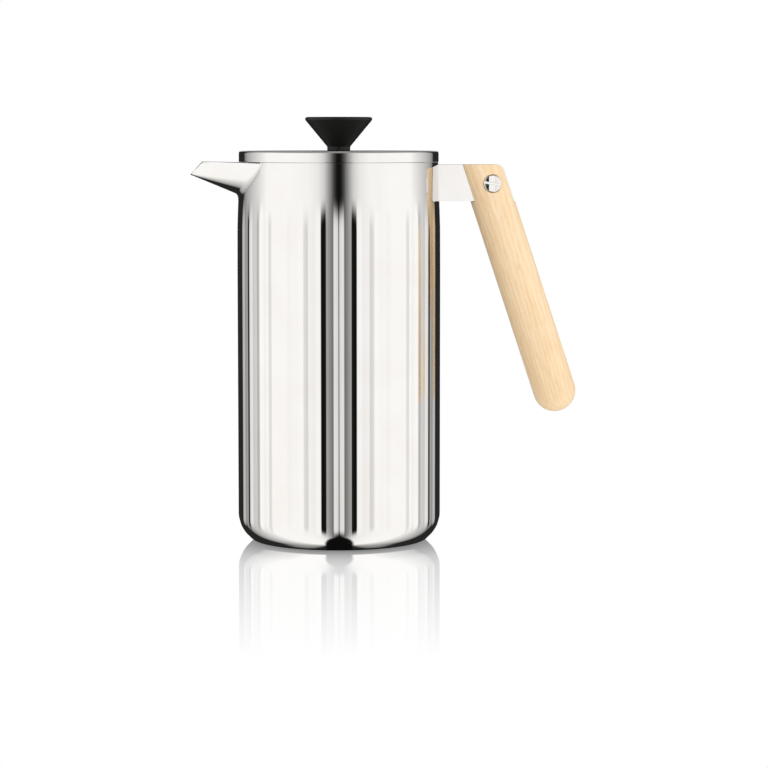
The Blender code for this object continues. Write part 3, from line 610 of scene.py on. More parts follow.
@dataclass
class Pot:
    """The double-walled pot: fluted outer wall, vessel, base and beak. Sizes in metres."""

    mirror: Material
    satin: Material
    rubber: Material
    radius: float = 52.0 * MM
    wall: float = 0.6 * MM
    foot_lift: float = 0.5 * MM
    upper_bend: float = 15.0 * MM
    lower_bend: float = 4.0 * MM
    slope: float = 2.4 * MM
    edge: float = 0.12 * MM
    flutes: int = 36
    crest_proud: float = 0.15 * MM
    flank_degrees: float = 9.0
    panel_depth: float = 0.40 * MM
    flute_foot: float = 8.0 * MM
    foot_fade: float = 5.0 * MM
    flute_top_below_rim: float = 15.9 * MM
    top_fade: float = 18.0 * MM
    notch_gap: float = 0.3 * MM
    neck_start: float = 155.0 * MM
    neck_setback: float = 1.05 * MM
    spout_half_width: float = 28.5 * MM
    spout_depth: float = 16.0 * MM
    tip_half_width: float = 4.8 * MM
    tip_depth: float = 6.7 * MM
    tip_rake: float = 6.4 * MM
    tip_rise: float = 0.9 * MM
    fullness: float = 1.6
    spout_wall: float = 0.8 * MM
    root_flare: float = 3.0 * MM
    fillet_reach: float = 1.7 * MM

    def __post_init__(self) -> None:
        """Heights and radii that the frame gives."""
        self.rim_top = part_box("lid_cover")[0].z - 0.08 * MM
        self.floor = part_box("inner_vessel")[0].z
        self.base_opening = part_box("base_plate")[1].y + self.notch_gap
        self.spout_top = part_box("spout")[1].z - self.tip_rise
        self.spout_reach = -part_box("spout")[0].x - self.radius
        self.vessel_radius = self.radius - 4.0 * MM
        self.flute_top = self.rim_top - self.flute_top_below_rim
        self.mouth_base = self.spout_top - self.spout_depth - 3.0 * MM

    def build(self) -> None:
        """Builds and dresses every piece of the pot."""
        self.shell()
        self.vessel()
        self.base()
        self.spout()

    def foot(self, radius: float, lift: float, upper: float, lower: float, steps: int) -> Outline:
        """The foot's outline from its flat underside up to the straight wall.

        Args:
            radius: Radius of the straight wall.
            lift: Height of the underside.
            upper: Radius of the upper bend.
            lower: Radius of the lower bend.
            steps: Stretches in the upper bend.

        Returns:
            (radius, height) points.
        """
        slant = self.slope * cos(radians(45))
        start = lift + lower * (1 - sin(radians(45))) + slant + upper * sin(radians(45))
        high = arc((radius - upper, start), upper, -45, 0, steps)
        low_x = high[0][0] - slant - lower * cos(radians(45))
        return arc((low_x, lift + lower), lower, -90, -45, steps // 2) + high

    def neck(self, height: float) -> float:
        """Radius of the plain wall at a height: it draws in a little towards the rim."""
        share = max(0.0, (height - self.neck_start) / (self.rim_top - self.neck_start))
        return self.radius - self.neck_setback * share ** 1.3

    def cap(self, point: Vector) -> Vector:
        """Lowers a point near the top so that the walls end in a U-shaped mouth behind the beak."""
        base = self.mouth_base
        if point.x > 0 or point.z <= base:
            return point
        half = self.spout_half_width + self.notch_gap
        inside = max(0.0, 1 - (point.y / half) ** 2)
        mouth = self.spout_top - (self.spout_depth + self.notch_gap) * inside ** (self.fullness / 2)
        mouth = self.rim_top if inside == 0.0 else min(mouth, self.rim_top)
        height = base + (point.z - base) * (mouth - base) / (self.rim_top - base)
        drawn = self.neck(height) / self.neck(point.z)
        return Vector((point.x * drawn, point.y * drawn, height))

    def flute_angles(self) -> list[float]:
        """Angles round the wall, closer together where a flute bends."""
        half_flute = [0.0, 0.15, 0.3, 0.5, 1.0, 1.7, 2.3, 2.6, 2.8, 3.0, 3.2, 3.5, 4.1, 5.0]
        one = half_flute + [10.0 - a for a in reversed(half_flute[1:-1])]
        pitch = 360.0 / self.flutes
        return [radians((k + 0.5) * pitch + a * pitch / 10.0) for k in range(self.flutes) for a in one]

    def flute_tree(self) -> NodeTree:
        """The rule of the flutes: sharp crests, straight flanks and shallow panels that fade at both ends."""
        node, size = new_growth("flutes", {
            "Count": self.flutes, "Crest proud": 0.001, "Flank slope": 0.001, "Panel depth": 0.001,
            "Foot height": 0.01, "Foot fade": 0.005, "Top height": 0.1, "Top fade": 0.005})
        part = node("SeparateXYZ", node("InputPosition")).outputs
        turns = node("Math:DIVIDE", node("Math:ARCTAN2", part["Y"], part["X"]), tau)
        flutes = node("Math:MULTIPLY", turns, size["Count"])
        from_crest = node("Math:PINGPONG", node("Math:ADD", flutes, 0.5), 0.5)
        degrees = node("Math:MULTIPLY", from_crest, 360.0 / self.flutes)
        flank = node("Math:MULTIPLY", node("Math:SUBTRACT", degrees, 0.15), size["Flank slope"])
        rounded_crest = node("Math:SMOOTH_MAX", flank, 0.0, 0.035 * MM)
        to_middle = node("Math:SUBTRACT", 180.0 / self.flutes, degrees)
        bow = node("Math:MULTIPLY", node("Math:MULTIPLY", to_middle, to_middle), -0.0028 * MM)
        panel = node("Math:ADD", size["Panel depth"], bow)
        depth = node("Math:SMOOTH_MIN", rounded_crest, panel, 0.05 * MM)
        rise = node("Math:SUBTRACT", size["Crest proud"], depth)
        fades = [node("MapRange", {"Value": part["Z"], "From Min": size[end + " height"],
                                   "From Max": node(step, size[end + " height"], size[end + " fade"])},
                      interpolation_type="SMOOTHSTEP")
                 for end, step in (("Foot", "Math:ADD"), ("Top", "Math:SUBTRACT"))]
        strength = node("Math:MULTIPLY", *fades)
        outside = node("InputNamedAttribute", {"Name": "outside"}, data_type="FLOAT")
        push = node("Math:MULTIPLY", node("Math:MULTIPLY", rise, strength), outside.outputs["Attribute"])
        outward = node("VectorMath:NORMALIZE", node("CombineXYZ", part["X"], part["Y"]))
        moved = node("VectorMath:SCALE", {0: outward, "Scale": push})
        return end_growth(node("SetPosition", {"Geometry": size["Geometry"], "Offset": moved}), self.mirror)

    def shell(self) -> None:
        """The fluted outer wall with its rounded foot."""
        fade = [self.flute_top - self.top_fade * k / 18 for k in range(18, -1, -1)]
        straight = [20 * MM, 60 * MM, 100 * MM, 140 * MM, *fade]
        outside = [(self.base_opening, self.foot_lift)]
        outside += self.foot(self.radius, self.foot_lift, self.upper_bend, self.lower_bend, 18)
        rim, edge = self.neck(self.rim_top), self.edge
        outside += [(self.neck(z), z) for z in [*straight, 183 * MM, 188 * MM]]
        outside += arc((rim - edge, self.rim_top - edge), edge, 0, 90, 4)
        inner = self.radius - 1.0 * MM
        inner_foot = self.foot(inner, self.foot_lift + self.wall, self.upper_bend - self.wall,
                               self.lower_bend - self.wall, 8)
        lip = rim - 1.7 * MM
        inside = [(lip, self.rim_top), (lip, self.rim_top - self.wall)]
        inside += [(self.neck(z) - 1.0 * MM, z) for z in (self.rim_top - 2 * self.wall, self.mouth_base,
                                                          self.neck_start)]
        inside += [*reversed(inner_foot), (self.base_opening, self.foot_lift + self.wall)]
        angles = self.flute_angles()
        rows = [[self.cap(p) for p in round_row(r, z, angles)] for r, z in outside + inside]
        bm = bmesh.new()
        layer = bm.verts.layers.float.new("outside")
        for i, row in enumerate(add_skin(bm, rows, closed=True)):
            for vert in row:
                vert[layer] = 1.0 if i < len(outside) else 0.0
        piece = settle(bm, "pot_shell", 40.0)
        slope = tan(radians(self.flank_degrees)) * self.radius * radians(1.0)
        grow(piece, self.flute_tree(), {
            "Count": self.flutes, "Crest proud": self.crest_proud, "Flank slope": slope,
            "Panel depth": self.panel_depth, "Foot height": self.flute_foot,
            "Foot fade": self.foot_fade, "Top height": self.flute_top, "Top fade": self.top_fade}, 40.0)
        dress(piece, self.mirror, Slot.POLISHED, Body.POT, "outer_shell")

    def vessel(self) -> None:
        """The brewing vessel with the rim that closes the double wall."""
        outer, corner = self.vessel_radius + self.wall, 5.0 * MM
        base, under = self.mouth_base, self.rim_top - self.wall
        collar = self.neck(self.rim_top) - 1.8 * MM
        profile = [(0.0, self.floor), *arc((outer - corner, self.floor + corner), corner, -90, 0, 8),
                   (outer, base), (outer, under), (collar, under), (collar, self.rim_top),
                   (self.vessel_radius + 0.4 * MM, self.rim_top),
                   (self.vessel_radius, self.rim_top - 0.4 * MM), (self.vessel_radius, base)]
        small = corner - self.wall
        floor = self.floor + self.wall
        profile += arc((self.vessel_radius - small, floor + small), small, 0, -90, 8)
        profile += [(30 * MM, floor), (0.0, floor)]
        angles = even_angles(288)
        rows = [[self.cap(p) for p in round_row(r, z, angles)] for r, z in profile]
        bm = bmesh.new()
        add_skin(bm, rows)
        piece = settle(bm, "brewing_vessel", 35.0)
        dress(piece, self.satin, Slot.SATIN, Body.POT, "inner_vessel")

    def base(self) -> None:
        """The disc that closes the foot and the pad that the pot stands on."""
        low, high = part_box("base_plate")
        edge, wall = high.y, self.wall
        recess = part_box("base_pad")[1].y + self.notch_gap
        shelf = high.z - wall
        corners = [(0.0, shelf, 0.0), (recess, shelf, 0.2 * MM), (recess, low.z, 0.3 * MM),
                   (edge, low.z, 0.15 * MM), (edge, low.z + wall, 0.15 * MM),
                   (recess + wall, low.z + wall, 0.2 * MM), (recess + wall, high.z, 0.4 * MM),
                   (0.0, high.z, 0.0)]
        dress(turned("base_disc", rounded(corners), 160), self.satin, Slot.SATIN, Body.POT, "base_plate")
        low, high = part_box("base_pad")
        edge, groove = high.y, 0.5 * MM
        outline = [(0.0, groove), (8 * MM, groove), (8.6 * MM, 0.0)]
        for ring in range(1, 4):
            middle = 8.6 * MM + (edge - 8.6 * MM) * ring / 4
            outline += [(middle - 0.8 * MM, 0.0), (middle - 0.5 * MM, groove), (middle + 0.5 * MM, groove),
                        (middle + 0.8 * MM, 0.0)]
        outline += [*arc((edge - 0.5 * MM, 0.5 * MM), 0.5 * MM, -90, 0, 4), (edge, high.z), (0.0, high.z)]
        dress(turned("foot_pad", outline, 128, 50.0), self.rubber, Slot.SILICONE, Body.POT, "base_pad")

    def u_curve(self, across: float, half_width: float, depth: float) -> tuple[float, float]:
        """(y, z) on the beak's U-shaped section, with across from -1 to 1 between the two lips."""
        swing = across * pi / 2
        return half_width * sin(swing), self.spout_top - depth * cos(swing) ** self.fullness

    def beak_point(self, station: float, across: float, inset: float) -> Vector:
        """A point of the beak.

        Args:
            station: 0 at the pot and 1 at the tip.
            across: From -1 to 1 between the lips.
            inset: How far in from the outside.

        Returns:
            Its place.
        """
        y0, z0 = self.u_curve(across, self.spout_half_width - inset, self.spout_depth - inset)
        y1, z1 = self.u_curve(across, self.tip_half_width - inset, self.tip_depth - inset)
        root = Vector((-sqrt(self.neck(z0) ** 2 - y0 ** 2), y0, z0))
        rake = self.tip_rake * (1 - (self.spout_top - z1) / self.tip_depth)
        tip = Vector((rake - self.radius - self.spout_reach, y1, z1 + self.tip_rise))
        return root.lerp(tip, station)

    def beak_rib(self, across: float) -> list[Vector]:
        """One closed rib of the beak, from the throat out over the flared root to the tip and back.

        Args:
            across: From -1 to 1 between the lips.

        Returns:
            Its points.
        """
        half, deep, flare = self.spout_half_width, self.spout_depth, self.root_flare
        near = self.vessel_radius + 0.1 * MM
        y, z = self.u_curve(across, half, deep)
        rib = [Vector((-sqrt(r ** 2 - y ** 2), y, z)) for r in (near, self.neck(z) - 0.05 * MM)]
        wide_y, wide_z = self.u_curve(across, half + flare * 0.6, deep + flare)
        reach = self.fillet_reach / self.spout_reach
        for k in range(17):
            t = k / 16
            wall_y, wall_z = wide_y + (y - wide_y) * t, wide_z + (z - wide_z) * t
            skin = self.neck(wall_z) + 0.02 * MM
            on_wall = Vector((-sqrt(skin ** 2 - wall_y ** 2), wall_y, wall_z))
            rib.append(on_wall.lerp(self.beak_point(reach * t, across, 0.0), t * t * (3 - 2 * t)))
        stations = [reach + (1 - reach) * k / 16 for k in range(1, 17)]
        rib += [self.beak_point(s, across, 0.0) for s in stations]
        rib += [self.beak_point(s, across, self.spout_wall) for s in reversed(stations)]
        rib += [self.beak_point(s, across, self.spout_wall) for s in (reach, reach / 2, 0.0)]
        y, z = self.u_curve(across, half - self.spout_wall, deep - self.spout_wall)
        rib.append(Vector((-sqrt(near ** 2 - y ** 2), y, z)))
        return rib

    def spout(self) -> None:
        """The pressed beak with its throat and the soft fillet where it meets the wall."""
        count = 96
        ribs = [self.beak_rib(2 * k / count - 1) for k in range(count + 1)]
        bm = bmesh.new()
        made = add_skin(bm, ribs, around=True)
        for rib in (made[0], made[-1]):
            bm.faces.new(rib)
        piece = settle(bm, "beak", 38.0)
        bevel(piece, 0.22 * MM, 2, 50.0)
        dress(piece, self.mirror, Slot.POLISHED, Body.POT, "spout")


# ---------------------------------------------------------------- the handle

@dataclass
class Handle:
    """The wooden bar, its steel channel and the screw through both. Sizes in metres."""

    mirror: Material
    satin: Material
    wood: Material
    wall_at: Callable[[float], float]
    radius: float = 10.95 * MM
    lean: float = radians(18.4)
    axis_at_top: float = 73.5 * MM
    length: float = 123.5 * MM
    gap: float = 0.3 * MM
    head_radius: float = 4.5 * MM
    head_height: float = 2.1 * MM
    slot_width: float = 1.1 * MM
    slot_depth: float = 1.0 * MM
    chamfer: float = 0.12 * MM
    slot_turn: float = radians(9.0)
    edge: float = 0.7 * MM
    dome_rise: float = 0.54 * MM
    corner: float = 2.4 * MM

    def __post_init__(self) -> None:
        """Places that the frame gives."""
        low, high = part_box("handle_bracket")
        self.top = high.z
        self.shoulder = low.z - self.gap
        self.slot_half = high.y + self.gap
        screw_low, screw_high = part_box("handle_screw")
        self.screw_x = (screw_low.x + screw_high.x) / 2
        self.screw_z = (screw_low.z + screw_high.z) / 2
        self.crown = -screw_low.y
        self.seat = self.crown - self.head_height

    def build(self) -> None:
        """Builds and dresses every piece of the handle."""
        bracket = carried_copy("handle_bracket", "handle_channel")
        self.close_on_wall(bracket)
        dress(bracket, self.mirror, Slot.POLISHED, Body.POT, "handle_bracket")
        spacer = carried_copy("bracket_spacer", "channel_spacer")
        bevel(spacer, 0.15 * MM, 2)
        dress(spacer, self.satin, Slot.POLISHED, Body.POT, "bracket_spacer")
        self.grip()
        self.fastener(-1, "handle_screw", "slotted_screw")
        self.fastener(1, "handle_sleeve_nut", "sleeve_nut")

    def close_on_wall(self, bracket: Object) -> None:
        """Brings the channel's welded end up to the wall, rounds its far end and eases its other edges."""
        weights = bracket.data.attributes.new("bevel_weight_edge", "FLOAT", "EDGE")
        verts = bracket.data.vertices
        welded = {v.index for v in verts if hypot(v.co.x, v.co.y) < self.wall_at(0.0) + 0.9 * MM}
        end = {v.index for v in verts if v.co.x > self.axis_x(v.co.z) + self.radius * 0.92}
        for edge in bracket.data.edges:
            if edge.use_edge_sharp and not welded.issuperset(edge.vertices):
                weights.data[edge.index].value = 1.0 if end.issuperset(edge.vertices) else 0.2
        for index in welded:
            here = verts[index].co
            verts[index].co.x = sqrt((self.wall_at(here.z) - 0.03 * MM) ** 2 - here.y ** 2)
        bevel(bracket, 0.45 * MM, 3)
        bracket.modifiers[-1].limit_method = "WEIGHT"

    def axis_x(self, height: float) -> float:
        """X of the bar's axis at a height."""
        return self.axis_at_top + (self.top - height) * tan(self.lean)

    def level_point(self, turn: float, height: float) -> Vector:
        """A point of the bar's surface where a level plane cuts it."""
        return Vector((self.axis_x(height) + self.radius * cos(turn) / cos(self.lean),
                       self.radius * sin(turn), height))

    def seated(self, point: Vector) -> Vector:
        """Sinks a point of a cheek into the round seat of the screw's head."""
        bore = self.head_radius + self.gap
        away = Vector((point.x - self.screw_x, 0.0, point.z - self.screw_z))
        distance = away.length
        if distance > bore + 0.45 * MM or distance < 1e-6:
            return point
        if distance > bore - 0.15 * MM:
            moved = away.normalized() * bore
            return Vector((self.screw_x + moved.x, point.y, self.screw_z + moved.z))
        side = copysign(min(abs(point.y), self.seat), point.y)
        return Vector((point.x, side, point.z))

    def trimmed(self, point: Vector) -> Vector:
        """Keeps a point of a cheek inside the rounded corner of the bar's outer top edge."""
        below = self.top - point.z
        if below >= self.corner:
            return point
        chord = sqrt(self.radius ** 2 - self.slot_half ** 2) / cos(self.lean)
        cut = self.corner - sqrt(self.corner ** 2 - (self.corner - below) ** 2)
        return Vector((min(point.x, self.axis_x(point.z) + chord - cut), point.y, point.z))

    def turns(self) -> list[float]:
        """Angles round the bar, with a pair on each edge of the slot."""
        edge = asin(self.slot_half / self.radius)
        inner = [edge * k / 10 for k in range(-10, 10)]
        outer = [edge + (pi - 2 * edge) * k / 56 for k in range(56)]
        half = inner + outer
        return half + [t + pi for t in half]

    def grip(self) -> None:
        """The turned bar with its round end, forked at the top for the channel."""
        turns = self.turns()
        bm = bmesh.new()
        end_z = self.top - self.length * cos(self.lean)
        centre = Vector((self.axis_x(end_z), 0.0, end_z))
        tilt = Matrix.Rotation(-self.lean, 3, "Y")
        rows = [[centre + tilt @ Vector((self.radius * cos(a) * cos(t),
                                         self.radius * cos(a) * sin(t),
                                         self.radius * sin(a))) for t in turns]
                for a in [radians(-90 + 6 * k) for k in range(16)]]
        level = [self.level_point(t, self.shoulder) for t in turns]
        rows += [[a.lerp(b, k / 24) for a, b in zip(rows[15], level)] for k in range(1, 24)]
        rows.append(level)
        made = add_skin(bm, rows)
        ring = made[-1]
        half = len(turns) // 2
        for i in range(20):
            j, far, near = i + 1, (half + 20 - i) % len(turns), (half + 20 - i - 1) % len(turns)
            bm.faces.new((ring[i], ring[j], ring[near], ring[far]))
        for start in (20, half + 20):
            self.cheek(bm, ring[start:start + 56] + [ring[(start + 56) % len(turns)]],
                       [turns[(start + k) % len(turns)] for k in range(57)])
        piece = settle(bm, "wooden_bar", 35.0)
        bevel(piece, self.edge * 0.5, 3, 50.0)
        dress(piece, self.wood, Slot.OAK, Body.POT, "handle_grip")

    def cheek(self, bm: BMesh, root: list[BMVert], turns: list[float]) -> None:
        """Adds one cheek of the fork above the shoulder.

        Args:
            bm: The bar's bmesh.
            root: The vertices at the shoulder, from one edge of the slot to the other.
            turns: Their angles.
        """
        steps = 44
        rows = [root]
        for k in range(1, steps + 1):
            height = self.shoulder + (self.top - self.shoulder) * k / steps
            rows.append([bm.verts.new(self.seated(self.trimmed(self.level_point(t, height))))
                         for t in turns])
        last = len(turns) - 1
        for low, high in zip(rows, rows[1:]):
            for i in range(last):
                bm.faces.new((low[i], low[i + 1], high[i + 1], high[i]))
            bm.faces.new((low[last], low[0], high[0], high[last]))
        top = rows[-1]
        for i in range(last // 2):
            ring = [top[i], top[i + 1], top[last - i - 1], top[last - i]]
            bm.faces.new(list(dict.fromkeys(ring)))

    def fastener(self, side: int, node: str, name: str) -> None:
        """A slotted, domed head in its seat.

        Args:
            side: -1 for the near cheek, 1 for the far one.
            node: The CAD node that it stands for.
            name: The piece's name.
        """
        radius, half = self.head_radius, self.slot_width / 2
        swing = [radians(90 * k / 10) for k in range(10)]
        chamfer, floor = self.chamfer, self.slot_depth
        outer = [radius * cos(a) for a in swing if radius * cos(a) > half + 2 * chamfer]
        slot = [(half + chamfer, 0.0), (half, chamfer), (half, floor)]
        lines = [(-u, 0.0) for u in outer] + [(-u, drop) for u, drop in slot]
        lines += slot[::-1] + [(u, 0.0) for u in reversed(outer)]
        count = 28
        rows = []
        for u, drop in lines:
            reach = sqrt(max(radius ** 2 - u ** 2, 0.0))
            ups = [reach * sin(pi * (k / count - 0.5)) for k in range(count + 1)]
            rows.append([(u, v, self.dome(hypot(u, v), drop)) for v in ups])
        turn = Matrix.Rotation(radians(90) + self.slot_turn, 3, "Y")
        origin = Vector((self.screw_x, 0.0, self.screw_z))

        def place(u: float, v: float, y: float) -> Vector:
            """A point of the head in the pot's frame."""
            return origin + turn @ Vector((u, side * y, v))

        bm = bmesh.new()
        top = [[place(*point) for point in row] for row in rows]
        bottom = [[place(u, v, self.seat) for u, v, _ in row] for row in rows]
        upper = add_skin(bm, top, around=False)
        lower = add_skin(bm, bottom, around=False)
        rim_top = [row[0] for row in upper] + upper[-1][1:] + [row[-1] for row in upper[-2::-1]]
        rim_low = [row[0] for row in lower] + lower[-1][1:] + [row[-1] for row in lower[-2::-1]]
        rim_top += upper[0][-2:0:-1]
        rim_low += lower[0][-2:0:-1]
        for i in range(len(rim_top)):
            j = (i + 1) % len(rim_top)
            bm.faces.new((rim_top[i], rim_top[j], rim_low[j], rim_low[i]))
        self.shank(bm, side, node)
        piece = settle(bm, name, 30.0)
        dress(piece, self.mirror, Slot.POLISHED, Body.POT, node)

    def dome(self, distance: float, drop: float) -> float:
        """Distance of the head's surface from the bar's middle plane.

        Args:
            distance: How far the point is from the head's axis.
            drop: How far it lies below the dome; the slot's floor is flat.

        Returns:
            The distance.
        """
        if drop >= self.slot_depth:
            return self.crown - self.slot_depth
        rim = 0.3 * MM
        share = min(distance / self.head_radius, 1.0)
        past = min(max(0.0, (distance - self.head_radius + rim) / rim), 1.0)
        return self.crown - self.dome_rise * share ** 2 - rim * (1 - sqrt(1 - past ** 2)) - drop

    def shank(self, bm: BMesh, side: int, node: str) -> None:
        """Adds the part behind the head, a threaded shank or the sleeve that it runs into.

        Args:
            bm: The fastener's bmesh.
            side: -1 for the near cheek, 1 for the far one.
            node: The CAD node that gives its far end.
        """
        low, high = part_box(node)
        end = -high.y if side < 0 else low.y
        bore, outer = 0.0, 2.0 * MM
        if side > 0:
            bore, outer = 2.3 * MM, 3.2 * MM
        outline = [(bore, self.seat - 0.01 * MM), (outer, self.seat - 0.01 * MM)]
        if side < 0:
            turns = int((self.seat - end) / (0.8 * MM))
            for k in range(turns):
                y = self.seat - 1.0 * MM - 0.75 * MM * k
                outline += [(outer, y), (outer - 0.35 * MM, y - 0.35 * MM)]
        outline += [(outer, end + 0.2 * MM), (outer - 0.2 * MM, end), (bore, end)]
        rows = []
        for radius, y in outline:
            rows.append([Vector((self.screw_x + radius * cos(a), side * y,
                                 self.screw_z + radius * sin(a))) for a in even_angles(32)])
        add_skin(bm, rows, closed=bore > 0)


# ---------------------------------------------------------------- the lid

@dataclass
class Lid:
    """The steel cap, the black liner with its strainer, the seal and the rod's bush. Sizes in metres."""

    mirror: Material
    plastic: Material
    rubber: Material
    wall: float = 0.6 * MM
    liner_wall: float = 1.6 * MM
    gap: float = 0.3 * MM
    edge: float = 1.2 * MM
    bush_radius: float = 4.3 * MM
    rod_radius: float = 2.5 * MM
    slots: int = 13
    pitch: float = radians(5.0)
    slot_width: float = 1.6 * MM
    slot_height: float = 11.5 * MM

    def build(self) -> None:
        """Builds and dresses every piece of the lid."""
        self.cover()
        self.liner()
        self.seal()
        self.bush()

    def cover(self) -> None:
        """The pressed cap: a flat top, a rounded edge and a curled lower edge."""
        low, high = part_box("lid_cover")
        radius, hole, edge = high.y, self.bush_radius + self.gap, self.edge
        inside = radius - self.wall
        profile = [(hole, high.z - 0.15 * MM), (hole + 0.15 * MM, high.z), (20 * MM, high.z),
                   *arc((radius - edge, high.z - edge), edge, 90, 0, 10),
                   (radius, low.z + 0.08 * MM), (radius - 0.08 * MM, low.z), (inside + 0.1 * MM, low.z),
                   (inside, low.z + 0.1 * MM),
                   *arc((inside - edge / 2, high.z - self.wall - edge / 2), edge / 2, 0, 90, 4),
                   (hole, high.z - self.wall)]
        dress(turned("lid_cap", profile, 256, 40.0), self.mirror, Slot.POLISHED, Body.LID, "lid_cover")

    def liner(self) -> None:
        """The moulded liner, whose skirt strains through slots on the beak's side."""
        low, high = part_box("lid_liner")
        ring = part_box("lid_seal")[0].z - self.gap
        ring_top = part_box("lid_seal")[1].z + self.gap
        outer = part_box("lid_seal")[1].y - 1.3 * MM
        inside = outer - self.liner_wall
        seat = outer - 0.8 * MM
        top_edge = high.y
        band_low = ring_top + 1.0 * MM
        slot_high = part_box("spout")[1].z - self.liner_wall
        slot_low = max(slot_high - self.slot_height, band_low + 1.0 * MM)
        band_high = slot_high + 1.0 * MM
        hole = self.bush_radius + self.gap
        under = high.z - self.liner_wall
        angles = [pi + self.pitch / 2 + self.pitch / 4 * k for k in range(288)]
        above = [(outer, band_high), (outer, under), (top_edge - 0.3 * MM, under),
                 (top_edge, under + 0.3 * MM), (top_edge, high.z - self.edge),
                 (top_edge - self.edge, high.z), (hole, high.z), (hole, under), (inside - 1 * MM, under),
                 (inside, under - 1 * MM), (inside, band_high)]
        below = [(inside, band_low), (inside, low.z + 0.3 * MM), (inside + 0.3 * MM, low.z),
                 (outer - 0.3 * MM, low.z), (outer, low.z + 0.3 * MM), (outer, ring), (seat, ring),
                 (seat, ring_top), (outer, ring_top), (outer, band_low)]
        bm = bmesh.new()
        for outline in (above, below):
            add_skin(bm, [round_row(r, z, angles) for r, z in outline])
        whole = settle(bm, "lid_liner_turned")
        slotted = self.band_sector(inside, outer, band_low, band_high, slot_low, slot_high)
        plain = self.plain_sector(inside, outer, band_low, band_high)
        tree = sectors_tree(self.plastic)
        first = pi - self.pitch * (self.slots - 1) / 2
        grow(slotted, tree, {"Count": self.slots, "First turn": first, "Pitch": self.pitch})
        rest = round(tau / self.pitch) - self.slots
        grow(plain, tree, {"Count": rest, "First turn": first + self.pitch * self.slots,
                           "Pitch": self.pitch})
        piece = joined("strainer_liner", [whole, slotted, plain])
        dress(piece, self.plastic, Slot.PLASTIC, Body.LID, "lid_liner")

    def band_sector(self, inside: float, outer: float, low: float, high: float, slot_low: float,
                    slot_high: float) -> Object:
        """One sector of the skirt with a round-ended slot.

        Args:
            inside: The skirt's inner radius.
            outer: Its outer radius.
            low: The band's lower height.
            high: Its upper height.
            slot_low: The slot's lower end.
            slot_high: Its upper end.

        Returns:
            The sector, about the X axis.
        """
        edge = sector_edge(low, high, self.pitch / 2, 4)
        half = self.slot_width / 2 / outer
        run = self.slot_width / 2
        middle = (slot_low + slot_high) / 2
        window = []
        for k in range(len(edge)):
            a = tau * k / len(edge)
            end = slot_high - run if cos(a) > 0.05 else slot_low + run
            height = middle if abs(cos(a)) <= 0.05 else end + run * cos(a)
            window.append((height, half * sin(a)))
        bm = bmesh.new()
        windowed_sector(bm, edge, window, inside, outer,
                        lambda z, turn, r: Vector((r * cos(turn), r * sin(turn), z)), 0.0)
        return settle(bm, "slotted_sector")

    def plain_sector(self, inside: float, outer: float, low: float, high: float) -> Object:
        """One sector of the skirt without a slot, as its inner and outer skins."""
        turns = [self.pitch * (k / 4 - 0.5) for k in range(5)]
        bm = bmesh.new()
        for radius in (inside, outer):
            add_skin(bm, [round_row(radius, z, turns) for z in (low, high)], around=False)
        return settle(bm, "plain_sector")

    def seal(self) -> None:
        """The soft ring with two lips that press on the vessel."""
        low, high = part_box("lid_seal")
        lip, height = high.y, high.z - low.z
        inside = lip - 1.8 * MM
        root = (inside + lip) / 2
        corners = [(inside, low.z, 0.2 * MM), (root, low.z, 0.3 * MM), (lip, low.z + height * 0.15, 0.3 * MM),
                   (root, low.z + height * 0.42, 0.3 * MM), (root, low.z + height * 0.58, 0.3 * MM),
                   (lip, low.z + height * 0.85, 0.3 * MM), (root, high.z, 0.3 * MM),
                   (inside, high.z, 0.2 * MM)]
        dress(turned("seal_ring", rounded(corners), 160, 60.0),
              self.rubber, Slot.SILICONE, Body.LID_RING, "lid_seal")

    def bush(self) -> None:
        """The bush that guides the rod, with its flange under the liner."""
        low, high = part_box("rod_bushing")
        bore, flange = self.rod_radius + self.gap, high.y
        step = low.z + 1.4 * MM
        corners = [(bore, high.z, 0.3 * MM), (self.bush_radius, high.z, 0.3 * MM),
                   (self.bush_radius, step, 0.1 * MM), (flange, step, 0.3 * MM), (flange, low.z, 0.3 * MM),
                   (bore, low.z, 0.4 * MM)]
        dress(turned("rod_bush", rounded(corners), 64), self.plastic, Slot.PLASTIC, Body.LID, "rod_bushing")


# ---------------------------------------------------------------- the filter

